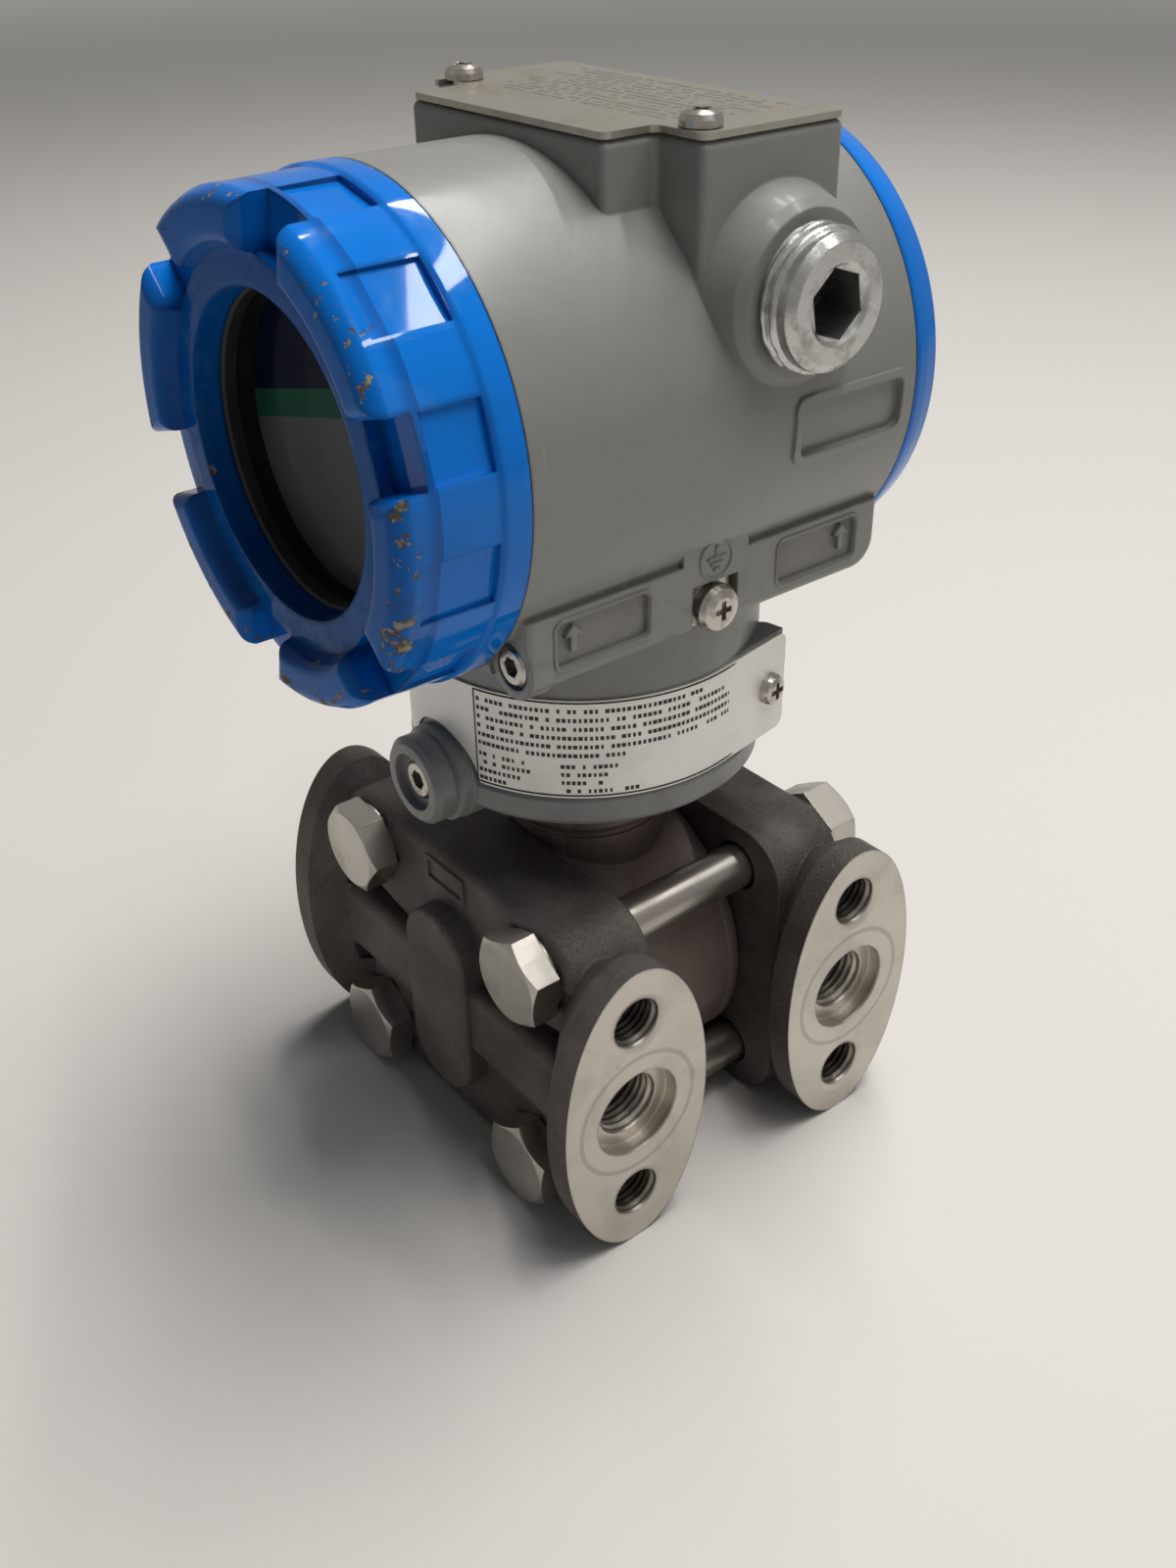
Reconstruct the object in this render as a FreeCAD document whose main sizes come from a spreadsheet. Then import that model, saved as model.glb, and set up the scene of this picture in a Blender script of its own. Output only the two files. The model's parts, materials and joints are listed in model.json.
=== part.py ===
"""Differential pressure transmitter with a turned-on housing, as a parametric FreeCAD document.

Sizes are millimetres. Every piece is drawn about the upright axis of the sensor module, and
finish() shifts it so that the origin lies between the two process ports on the +X faces.
+X leaves the open process ports, -Y is the display side and +Z runs up the neck.
"""

import FreeCAD
import Part
import Sketcher
import os
import re

DIMS = {
    # process flanges and their bolts
    "near_reach": 48, "far_reach": 46.6, "port_pitch": 54, "tap_pitch": 41.3,
    "slab_inner": 16, "slab_outer": 33, "slab_width": 76.8, "slab_height": 63, "slab_corner": 10,
    "slab_brow": 2, "rib_round": 2.5, "pad_round": 1,
    "oval_height": 64, "near_oval": 32.6, "far_oval": 30.6, "oval_plate": 5.5, "oval_root": 15,
    "root_height": 49, "root_width": 13,
    "rib_height": 16, "rib_face": 36.5, "pad_width": 19.4, "pad_height": 42, "pad_face": 38,
    "pocket_near": 11, "pocket_far": 35, "pocket_rise": 4.6, "pocket_floor": 29.5,
    "near_tap": 4.96, "near_tap_mouth": 6.2, "far_tap": 4.25, "far_tap_mouth": 5.4,
    "tap_chamfer": 0.5, "tap_depth": 15, "drill_tip": 2.5,
    "frame_wide": 12.5, "frame_high": 5.6, "frame_low": 24, "frame_line": 0.8, "frame_proud": 0.5,
    "mouth_radius": 9.2, "mouth_depth": 3, "npt_radius": 6.4, "npt_depth": 15, "screw_gap": 0.05,
    "duct_radius": 3.5, "link_radius": 3, "chamber_radius": 19, "chamber_depth": 3,
    "gasket_inner": 21, "gasket_outer": 25.5, "gasket_depth": 1.4,
    "bolt_x": 26.4, "bolt_z": 22.5, "bolt_radius": 4.5, "bolt_clearance": 5.2, "bolt_tail": 2.5,
    "hex_flats": 16, "hex_face": 7.8, "hex_slope": 0.58, "head_height": 6.4, "nut_height": 8,
    "washer_face": 0.7,
    # capsule and stem
    "capsule_radius": 29.6, "capsule_half": 15.6, "capsule_edge": 1, "stem_radius": 17,
    "stem_waist": 15, "stem_top": 62, "seal_groove": 15, "seal_room": 1.2, "seal_z": 55,
    "seal_section": 1.7,
    "diaphragm_radius": 18.5, "diaphragm_foil": 0.3,
    # housing casting
    "axis_z": 115.8, "barrel_radius": 39.5, "barrel_half": 39, "barrel_bore": 33,
    "spigot_bore": 34.55, "spigot_depth": 12.6, "web_front": -4, "web_rear": 0,
    "neck_foot": 46.6, "neck_lip": 32.7, "neck_lip_top": 52, "neck_radius": 32.1, "neck_top": 92,
    "stem_bore": 17.05, "stem_room": 63, "wire_bore": 7, "wire_y": -10,
    "block_top": 157.5, "block_wide": 67, "narrow_left": 25.2, "narrow_right": 23.4,
    "block_front": -13.2, "plate_left": 24.6,
    "block_step": -3.5, "block_rear": 24.5, "block_edge": 1.2,
    "conduit_y": 12, "conduit_z": 135.3, "conduit_face": 40.2, "conduit_mouth": 13.3,
    "conduit_flare": 15.6, "conduit_root": 19.5, "conduit_bore": 10.15, "conduit_edge": 1.5,
    "side_face": 35, "side_low": 83.2, "side_high": 97.5, "side_half": 37.8, "side_back": 18,
    "side_round": 1.4, "rear_corner": 5, "ledge_depth": 0.9, "ledge_height": 2.2, "ledge_gap": 7,
    "sign_inset": 0.8, "sign_near": 14.2, "sign_far": 32.2, "sign_low": 86.1, "sign_height": 7.4,
    "sign_round": 1.2, "arrow_y": 29, "arrow_z": 90.5, "arrow_half": 2.2, "arrow_wide": 1.7,
    "arrow_stem": 0.6, "arrow_barb": 0.4,
    "earth_z": 86.5, "earth_half": 4.9, "earth_top": 91.2, "earth_floor": 32.6,
    "cover_lock_x": 30, "front_lock_z": 86.3, "rear_lock_z": 90, "cover_lock_lug": 5.4,
    "front_lock_y": 37.3, "lock_lug_length": 4, "lock_sink": 1, "lock_proud": 0.2,
    "set_screw_radius": 3.3, "set_screw_hole": 3.9, "set_screw_length": 8,
    "neck_lock_z": 51.3, "neck_lock_boss": 8.3, "neck_lock_face": 39, "collar_radius": 9,
    "collar_start": 20, "collar_face": 34, "collar_groove": 1, "neck_lock_radius": 3.6,
    "neck_lock_hole": 5.4, "neck_lock_sink": 1.6, "notch_room": 1,
    "panel_near": 11.5, "panel_far": 37, "panel_low": 108.4, "panel_high": 119.6,
    "panel_rim": 0.5, "panel_sink": 0.8, "panel_border": 1.4, "panel_round": 2.2,
    # plates
    "plate_low": 52.9, "plate_high": 72, "plate_sheet": 0.5, "plate_tab": 18, "tab_angle": 10,
    "pad_thick": 5, "tab_screw": 13.4, "tab_screw_z": 62.3, "tab_round": 2,
    "top_gap": 0.2, "top_sheet": 1, "top_corner": 1.5, "pivot_x": 29, "pivot_radius": 2,
    "pivot_clearance": 0.08, "slot_radius": 2.4, "pan_radius": 3.2, "pan_height": 2.2,
    "pan_gap": 0.15, "tab_pan": 2.9, "tab_pan_height": 2, "tab_shank": 1.6, "tab_screw_length": 4,
    "terminal_shank": 1.8, "cross_width": 1, "cross_span": 3.4, "cross_depth": 1.3,
    "earth_pan": 4.1, "earth_pan_height": 2.8, "earth_shank": 2.5, "earth_screw_length": 8,
    "washer_half": 4.4, "washer_sheet": 1, "spring_washer": 4, "spring_washer_sheet": 0.8,
    # covers, with lengths counted outwards from the seam
    "seam_gap": 0.2, "spigot_radius": 34.5, "spigot_length": 12, "spigot_edge": 0.6,
    "cover_cavity": 30.2, "ring_floor": 32.1, "ring_near": 1.6, "ring_far": 4.2,
    "ring_radius": 33.3, "ring_section": 0.9,
    "rim_radius": 39.5, "rim_length": 4.5, "skirt_radius": 39, "skirt_step": 5.1,
    "front_shoulder": 21.7, "lug_radius": 37.4, "lug_inner": 30.8, "window_radius": 25,
    "window_face": 18.4, "window_seat": 13.9, "seat_radius": 29.2, "cavity_top": 4.4,
    "gasket_sheet": 1, "window_gasket_radius": 23.1, "glass_sheet": 6, "retainer_sheet": 2.4,
    "retainer_inner": 25.5, "retainer_clearance": 0.1,
    "notch_width": 10.4, "notch_floor": 16, "panel_width": 10, "panel_flat": 37.9,
    "panel_start": 5.2, "long_panel": 17.6, "short_panel": 15, "notch_turn": 16.5,
    "rear_rim": 1.2, "rear_mid": 39.1, "rear_mid_at": 3.2, "rear_slope": 38.2, "rear_slope_at": 6.2,
    "rear_brow": 36.4, "rear_face": 8.4, "rear_lug": 10.4, "rear_lug_radius": 34.4,
    "rear_lug_inner": 28.5, "rear_cavity": 5.4, "rear_notch_floor": 8.6, "front_round": 2.2,
    "rear_round": 0.7,
    # inner pieces
    "module_radius": 31, "module_front": 22, "module_rear": 6, "display_radius": 27,
    "display_front": 42, "lcd_wide": 38, "lcd_high": 26, "lcd_sheet": 1.2,
    "terminal_radius": 31.5, "terminal_low": 90, "terminal_high": 121, "terminal_front": 0.5,
    "terminal_face": 14, "terminal_pitch": 12, "terminal_screw": 3, "terminal_well": 4,
    "terminal_z": 106, "terminal_sink": 2,
    # conduit and process plugs
    "plug_radius": 10.1, "plug_end": 46.6, "plug_inner": 30, "plug_edge": 1.2,
    "plug_hex": 9.5, "plug_hex_depth": 9, "blank_radius": 6.3, "blank_length": 9, "blank_hex": 4.8,
    # buttons
    "button_x": 15, "button_y": -8.4, "button_radius": 3.5, "button_bore": 3.56,
    "button_top": 157, "button_length": 4, "well_floor": 146, "spring_radius": 2.3,
    "spring_wire": 0.35, "spring_turns": 4, "spring_gap": 0.05,
}

doc = FreeCAD.newDocument("Transmitter")
sheet = doc.addObject("Spreadsheet::Sheet", "Dims")
for number, (alias, size) in enumerate(DIMS.items(), 1):
    sheet.set("A%d" % number, alias)
    sheet.set("B%d" % number, str(size))
    sheet.setAlias("B%d" % number, alias)
doc.recompute()

AIM = {
    "+Z": FreeCAD.Rotation(),
    "-Y": FreeCAD.Rotation(FreeCAD.Vector(1, 0, 0), 90),
    "+Y": FreeCAD.Rotation(FreeCAD.Vector(1, 0, 0), -90),
    "+X": FreeCAD.Rotation(FreeCAD.Vector(0, 1, 0), 90),
    "-X": FreeCAD.Rotation(FreeCAD.Vector(0, 1, 0), -90),
}
PARTS = []


# ---------------------------------------------------------------- document helpers
def formula(text):
    """The expression with each sheet alias written as a reference to the sheet."""
    return re.sub(r"[a-z]\w*", lambda word: "Dims." + word[0] if word[0] in DIMS else word[0], str(text))


def value(text):
    """What the expression comes to now."""
    return float(sheet.evalExpression(formula(text)))


def bind(thing, **sizes):
    """Tie properties of a document object to sheet expressions."""
    for name, text in sizes.items():
        thing.setExpression(name, formula(text))
    return thing


def place(thing, at=("0", "0", "0"), aim="+Z", turn=None):
    """Set the direction that local Z takes, and bind the position."""
    thing.Placement = FreeCAD.Placement(FreeCAD.Vector(), turn or AIM[aim])
    for letter, text in zip("xyz", at):
        thing.setExpression("Placement.Base." + letter, formula(text))
    return thing


def add(kind, name, **sizes):
    return bind(doc.addObject(kind, name), **sizes)


def cylinder(name, radius, height, at, aim="+Z"):
    return place(add("Part::Cylinder", name, Radius=radius, Height=height), at, aim)


def box(name, low, high):
    """A box between two corners given as expressions."""
    size = ["(%s) - (%s)" % (b, a) for a, b in zip(low, high)]
    return place(add("Part::Box", name, Length=size[0], Width=size[1], Height=size[2]), low)


def prism(name, flats, height, at, aim="+Z", spin=0):
    """A hexagonal prism across flats, spun about its own axis by so many degrees."""
    solid = add("Part::Prism", name, Circumradius="(%s) / sqrt(3)" % flats, Height=height)
    solid.Polygon = 6
    turn = AIM[aim].multiply(FreeCAD.Rotation(FreeCAD.Vector(0, 0, 1), spin))
    return place(solid, at, turn=turn)


def fuse(name, *pieces):
    result = doc.addObject("Part::MultiFuse", name)
    result.Shapes = list(pieces)
    return result


def common(name, *pieces):
    result = doc.addObject("Part::MultiCommon", name)
    result.Shapes = list(pieces)
    return result


def cut(name, base, *tools):
    """The base less all the tools."""
    result = doc.addObject("Part::Cut", name)
    result.Base = base
    result.Tool = tools[0] if len(tools) == 1 else fuse(name + "_tools", *tools)
    return result


def mirrored(name, source, normal):
    """The source reflected in a plane through the origin."""
    result = doc.addObject("Part::Mirroring", name)
    result.Source = source
    result.Normal = normal
    return result


def rounded(name, base, radius, test):
    """Fillet the edges of the base that pass the test."""
    doc.recompute()
    picked = [i for i, edge in enumerate(base.Shape.Edges, 1) if test(edge)]
    result = doc.addObject("Part::Fillet", name)
    result.Base = base
    result.Edges = [(i, value(radius), value(radius)) for i in picked]
    return result


def runs_along(edge, direction):
    """True for a straight edge parallel to the direction."""
    if edge.Curve.TypeId != "Part::GeomLine":
        return False
    return abs(abs(edge.Curve.Direction.dot(FreeCAD.Vector(*direction))) - 1) < 1e-6


def outline(sketch, corners):
    """A closed polygon in a sketch, each corner bound to a pair of sheet expressions."""
    spots = [FreeCAD.Vector(value(x), value(y), 0) for x, y in corners]
    count = len(spots)
    for i in range(count):
        sketch.addGeometry(Part.LineSegment(spots[i], spots[(i + 1) % count]))
    for i in range(count):
        sketch.addConstraint(Sketcher.Constraint("Coincident", i, 2, (i + 1) % count, 1))
    for i, (spot, corner) in enumerate(zip(spots, corners)):
        for kind, size, text, axis in (("DistanceX", spot.x, corner[0], -2),
                                       ("DistanceY", spot.y, corner[1], -1)):
            if abs(size) < 1e-9:
                sketch.addConstraint(Sketcher.Constraint("PointOnObject", i, 1, axis))
                continue
            index = sketch.addConstraint(Sketcher.Constraint(kind, -1, 1, i, 1, size))
            sketch.setExpression("Constraints[%d]" % index, formula(text))


def turned(name, corners, at=("0", "0", "0"), aim="+Z"):
    """A solid of revolution about its own Z from (radius, height) corners."""
    sketch = doc.addObject("Sketcher::SketchObject", name + "_profile")
    sketch.Placement = FreeCAD.Placement(FreeCAD.Vector(), AIM["-Y"])
    outline(sketch, corners)
    solid = doc.addObject("Part::Revolution", name)
    solid.Source = sketch
    solid.Axis = (0, 0, 1)
    solid.Angle = 360
    solid.Solid = True
    return place(solid, at, aim)


def extruded(name, corners, depth, at=("0", "0", "0"), aim="+Z"):
    """A polygon in the local XY plane drawn out along local Z."""
    sketch = doc.addObject("Sketcher::SketchObject", name + "_profile")
    outline(sketch, corners)
    solid = doc.addObject("Part::Extrusion", name)
    solid.Base = sketch
    solid.DirMode = "Custom"
    solid.Dir = (0, 0, 1)
    solid.Solid = True
    bind(solid, LengthFwd=depth)
    return place(solid, at, aim)


def body_sketch(body, name, role, height):
    """A sketch on one of the body's own origin planes, lifted off it by an expression."""
    sketch = body.newObject("Sketcher::SketchObject", name)
    plane = next(item for item in body.Origin.OriginFeatures if item.Role == role)
    sketch.AttachmentSupport = (plane, [""])
    sketch.MapMode = "FlatFace"
    sketch.setExpression("AttachmentOffset.Base.z", formula(height))
    return sketch


def finish(label, feature, turn=None):
    """Name a finished piece and shift it from the module axis into the part's own frame."""
    if turn is not None:
        feature.Placement = FreeCAD.Placement(feature.Placement.Base, turn)
    bound = dict((path.lstrip("."), text) for path, text in feature.ExpressionEngine)
    old = bound.get("Placement.Base.x", "0")
    feature.setExpression("Placement.Base.x", "(%s) - Dims.near_reach" % old)
    feature.Label = label
    PARTS.append(feature)
    return feature


def compound(label, *solids):
    """Identical loose pieces kept together as one node."""
    group = doc.addObject("Part::Compound", label + "_group")
    group.Links = list(solids)
    return finish(label, group)


def cross_recess(name, at, aim):
    """Two crossed slots that sink from a screw's face."""
    bars = []
    for index, spin in enumerate((0, 90)):
        bar = add("Part::Box", "%s_bar%d" % (name, index), Length="cross_span", Width="cross_width",
                  Height="cross_depth")
        bar.Placement = FreeCAD.Placement()
        bars.append(bar)
        bind(bar, **{"Placement.Base.x": "-cross_span / 2", "Placement.Base.y": "-cross_width / 2"})
        if spin:
            bind(bar, Length="cross_width", Width="cross_span",
                 **{"Placement.Base.x": "-cross_width / 2", "Placement.Base.y": "-cross_span / 2"})
    return place(fuse(name, *bars), at, aim)


# ---------------------------------------------------------------- process flanges
def oval(name, height, width, x):
    """An upright ellipse about the port axis, facing along X."""
    ring = add("Part::Ellipse", name, MajorRadius="(%s) / 2" % height, MinorRadius="(%s) / 2" % width)
    upright = FreeCAD.Rotation(FreeCAD.Vector(0, 0, 1), FreeCAD.Vector(0, 1, 0), FreeCAD.Vector(1, 0, 0))
    return place(ring, (x, "-port_pitch / 2", "0"), turn=upright)


def oval_end(name, reach, width):
    """The bolting plate of one process connection and the flared casting behind it."""
    back = reach + " - oval_plate"
    plate = doc.addObject("Part::Extrusion", name + "_plate")
    plate.Base = oval(name + "_back", "oval_height", width, back)
    plate.DirMode = "Custom"
    plate.Dir = (1, 0, 0)
    plate.Solid = True
    bind(plate, LengthFwd="oval_plate")
    flare = doc.addObject("Part::Loft", name + "_flare")
    flare.Sections = [oval(name + "_root", "root_height", "root_width", reach + " - oval_root"),
                      oval(name + "_brim", "oval_height", width, back)]
    flare.Solid = True
    return fuse(name, plate, flare)


def port_tools(name, reach, tap, mouth):
    """Process port and its two tapped holes, cut in from the oval face."""
    tools = [turned(name + "_port", [
        ("0", "-1"), ("mouth_radius", "-1"), ("mouth_radius", "mouth_depth"),
        ("npt_radius", "mouth_depth"), ("npt_radius", "mouth_depth + npt_depth"),
        ("0", "mouth_depth + npt_depth + drill_tip")], (reach, "-port_pitch / 2", "0"), "-X")]
    for index, side in enumerate(("", "-")):
        tools.append(turned("%s_tap%d" % (name, index), [
            ("0", "-1"), (mouth, "-1"), (mouth, "0"), (tap, "tap_chamfer"), (tap, "tap_depth"),
            ("0", "tap_depth + drill_tip")], (reach, "-port_pitch / 2", side + "tap_pitch / 2"), "-X"))
    return tools


CORNERS = (("", ""), ("-", ""), ("", "-"), ("-", "-"))
NEAR_END = {"reach": "near_reach", "width": "near_oval", "tap": "near_tap", "mouth": "near_tap_mouth"}
FAR_END = {"reach": "far_reach", "width": "far_oval", "tap": "far_tap", "mouth": "far_tap_mouth"}


def flange(tag, right_end, left_end, turn=None):
    """One cast process flange, drawn on the -Y side with its sealing face towards the capsule."""
    slab = box(tag + "_slab", ("-slab_width / 2", "-slab_outer", "-slab_height / 2"),
               ("slab_width / 2", "-slab_inner", "slab_height / 2"))
    slab = rounded(tag + "_corners", slab, "slab_corner", lambda edge: runs_along(edge, (0, 1, 0)))
    slab = rounded(tag + "_brow", slab, "slab_brow",
                   lambda edge: edge.BoundBox.YMax < -value("slab_outer") + 0.01)
    rib = box(tag + "_rib", ("-slab_width / 2", "-rib_face", "-rib_height / 2"),
              ("slab_width / 2", "-slab_inner", "rib_height / 2"))
    rib = rounded(tag + "_rib_edges", rib, "rib_round",
                  lambda edge: runs_along(edge, (1, 0, 0)) and edge.BoundBox.YMax < -value("slab_outer"))
    pad = box(tag + "_pad", ("-pad_width / 2", "-pad_face", "-pad_height / 2"),
              ("pad_width / 2", "-slab_inner", "pad_height / 2"))
    pad = rounded(tag + "_pad_ends", pad, "pad_width / 2 - 0.01",
                  lambda edge: runs_along(edge, (0, 1, 0)))
    pad = rounded(tag + "_pad_edge", pad, "pad_round",
                  lambda edge: edge.BoundBox.YMax < -value("pad_face") + 0.01)
    right = oval_end(tag + "_right", right_end["reach"], right_end["width"])
    left = oval_end(tag + "_left_drawn", left_end["reach"], left_end["width"])
    left = mirrored(tag + "_left", left, (1, 0, 0))
    frame = cut(tag + "_frame", box(
        tag + "_frame_out", ("-frame_wide / 2 - 1", "-slab_outer - frame_proud", "frame_low"),
        ("frame_wide / 2 - 1", "-slab_outer + 1", "frame_low + frame_high")), box(
        tag + "_frame_in", ("-frame_wide / 2 - 1 + frame_line", "-slab_outer - 1", "frame_low + frame_line"),
        ("frame_wide / 2 - 1 - frame_line", "-slab_outer + 2", "frame_low + frame_high - frame_line")))
    casting = fuse(tag + "_casting", slab, rib, pad, right, left, frame)

    wedge = [("pocket_near", "rib_height / 2"), ("pocket_far", "rib_height / 2"),
             ("pocket_far", "rib_height / 2 + pocket_rise")]
    pocket = extruded(tag + "_pocket", wedge, "rib_face - pocket_floor + 1",
                      ("0", "-pocket_floor", "0"), "-Y")
    pocket_low = mirrored(tag + "_pocket_low", pocket, (0, 0, 1))
    tools = [pocket, pocket_low, mirrored(tag + "_pocket_left", pocket, (1, 0, 0)),
             mirrored(tag + "_pocket_low_left", pocket_low, (1, 0, 0))]
    tools += port_tools(tag + "_near", right_end["reach"], right_end["tap"], right_end["mouth"])
    tools += [mirrored("%s_far%d" % (tag, index), tool, (1, 0, 0)) for index, tool in enumerate(
        port_tools(tag + "_far", left_end["reach"], left_end["tap"], left_end["mouth"]))]
    tools.append(cylinder(tag + "_duct", "duct_radius",
                          "near_reach + far_reach - 2 * (mouth_depth + npt_depth)",
                          ("mouth_depth + npt_depth - " + left_end["reach"], "-port_pitch / 2", "0"), "+X"))
    for index, (side, level) in enumerate(CORNERS):
        tools.append(cylinder("%s_bolt_hole%d" % (tag, index), "bolt_clearance", "rib_face",
                              (side + "bolt_x", "-slab_inner + 1", level + "bolt_z"), "-Y"))
    tools.append(cylinder(tag + "_chamber", "chamber_radius", "chamber_depth + 1",
                          ("0", "-slab_inner + 1", "0"), "-Y"))
    tools.append(cylinder(tag + "_link", "link_radius", "port_pitch / 2 - slab_inner",
                          ("0", "-slab_inner", "0"), "-Y"))
    tools.append(turned(tag + "_groove", [
        ("gasket_inner", "-1"), ("gasket_outer", "-1"), ("gasket_outer", "gasket_depth"),
        ("gasket_inner", "gasket_depth")], ("0", "-slab_inner", "0"), "-Y"))
    return finish(tag, cut(tag + "_cast", casting, *tools), turn)


def hex_blank(name, height, at, aim, spin):
    """A hexagonal head or nut with a round washer face below and its outer corners turned off."""
    body = prism(name + "_hex", "hex_flats", height, ("0", "0", "0"), "+Z", spin)
    lathe = turned(name + "_lathe", [
        ("0", "0"), ("hex_face", "0"), ("hex_face", "washer_face"), ("hex_flats", "washer_face"),
        ("hex_flats", "(%s) - (hex_flats - hex_face) * hex_slope" % height),
        ("hex_face", height), ("0", height)])
    return place(common(name, body, lathe), at, aim)


def flange_bolts():
    """Four through bolts with their heads on the display side, each turned as it was tightened."""
    bolts = []
    for index, ((side, level), spin) in enumerate(zip(CORNERS, (22, 57, 29, 24))):
        x, z = side + "bolt_x", level + "bolt_z"
        head = hex_blank("bolt_head%d" % index, "head_height", (x, "-slab_outer", z), "-Y", spin)
        end = "2 * slab_outer + nut_height + bolt_tail"
        shank = turned("bolt_shank%d" % index, [
            ("0", "0"), ("bolt_radius", "0"), ("bolt_radius", end + " - 1"), ("bolt_radius - 1", end),
            ("0", end)], (x, "-slab_outer - 1", z), "+Y")
        bolts.append(fuse("flange_bolt%d" % index, head, shank))
    return compound("flange_bolts", *bolts)


def flange_nuts():
    """The nuts behind, with a flat towards each oval plate."""
    nuts = []
    for index, ((side, level), spin) in enumerate(zip(CORNERS, (30, 28, 31, 33))):
        x, z = side + "bolt_x", level + "bolt_z"
        blank = hex_blank("nut_blank%d" % index, "nut_height", (x, "slab_outer", z), "+Y", spin)
        bore = cylinder("nut_bore%d" % index, "bolt_radius + screw_gap", "nut_height + 2",
                        (x, "slab_outer - 1", z), "+Y")
        nuts.append(cut("flange_nut%d" % index, blank, bore))
    return compound("flange_nuts", *nuts)


def sensor_capsule():
    """The welded capsule disc with the round stem that carries the housing."""
    disc = turned("capsule_disc", [
        ("0", "-capsule_half"), ("capsule_radius - capsule_edge", "-capsule_half"),
        ("capsule_radius", "-capsule_half + capsule_edge"),
        ("capsule_radius", "capsule_half - capsule_edge"),
        ("capsule_radius - capsule_edge", "capsule_half"), ("0", "capsule_half")], aim="+Y")
    stem = turned("capsule_stem", [
        ("0", "0"), ("stem_waist", "0"), ("stem_waist", "capsule_radius + 4"),
        ("stem_radius", "capsule_radius + 6"), ("stem_radius", "seal_z - seal_room"),
        ("seal_groove", "seal_z - seal_room"), ("seal_groove", "seal_z + seal_room"),
        ("stem_radius", "seal_z + seal_room"), ("stem_radius", "stem_top - 1"),
        ("stem_radius - 1", "stem_top"), ("0", "stem_top")])
    collar = common("stem_collar",
                    cylinder("stem_collar_round", "capsule_half", "capsule_radius + 3", ("0", "0", "0")),
                    box("stem_collar_room", ("-stem_radius", "-capsule_half", "0"),
                        ("stem_radius", "capsule_half", "stem_top")))
    return finish("sensor_capsule", fuse("capsule", disc, stem, collar))


def ring_solid(name, centre, section, at, aim="+Z"):
    return place(add("Part::Torus", name, Radius1=centre, Radius2=section), at, aim)


def sealing_rings():
    """Gaskets and isolating diaphragms on both faces of the capsule, and the stem's own seal."""
    gaskets = []
    foils = []
    for side, aim in (("-", "-Y"), ("", "+Y")):
        tag = "low" if side == "" else "high"
        gaskets.append(turned(tag + "_gasket", [
            ("gasket_inner + 0.1", "0"), ("gasket_outer - 0.1", "0"),
            ("gasket_outer - 0.1", "gasket_depth + slab_inner - capsule_half"),
            ("gasket_inner + 0.1", "gasket_depth + slab_inner - capsule_half")],
            ("0", side + "capsule_half", "0"), aim))
        foils.append(turned(tag + "_foil", [
            ("0", "0"), ("diaphragm_radius", "0"), ("diaphragm_radius", "diaphragm_foil"),
            ("0", "diaphragm_foil")], ("0", side + "capsule_half", "0"), aim))
    compound("flange_gaskets", *gaskets)
    compound("isolating_diaphragms", *foils)
    ring = ring_solid("stem_ring", "seal_groove + seal_section / 2", "seal_section / 2", ("0", "0", "seal_z"))
    finish("stem_seal", ring)


def blank_plugs():
    """Socket plugs that close the two ports on the -X faces."""
    plugs = []
    for side in ("-", ""):
        tag = "blank_high" if side == "-" else "blank_low"
        at = ("-far_reach + mouth_depth", side + "port_pitch / 2", "0")
        core = turned(tag, [
            ("0", "0"), ("blank_radius - 0.6", "0"), ("blank_radius", "0.6"),
            ("blank_radius - 0.3", "blank_length"), ("0", "blank_length")], at, "+X")
        socket = prism(tag + "_socket", "blank_hex", "blank_length * 0.6", at, "+X")
        plugs.append(cut(tag + "_plug", core, socket))
    compound("blank_plugs", *plugs)


# ---------------------------------------------------------------- housing
OPPOSITE = {"-Y": "+Y", "+Y": "-Y"}
COVER_LOCKS = (("front", "-", "front_lock_y", "front_lock_z", "-Y"),
               ("rear", "", "side_half", "rear_lock_z", "+Y"))


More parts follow.
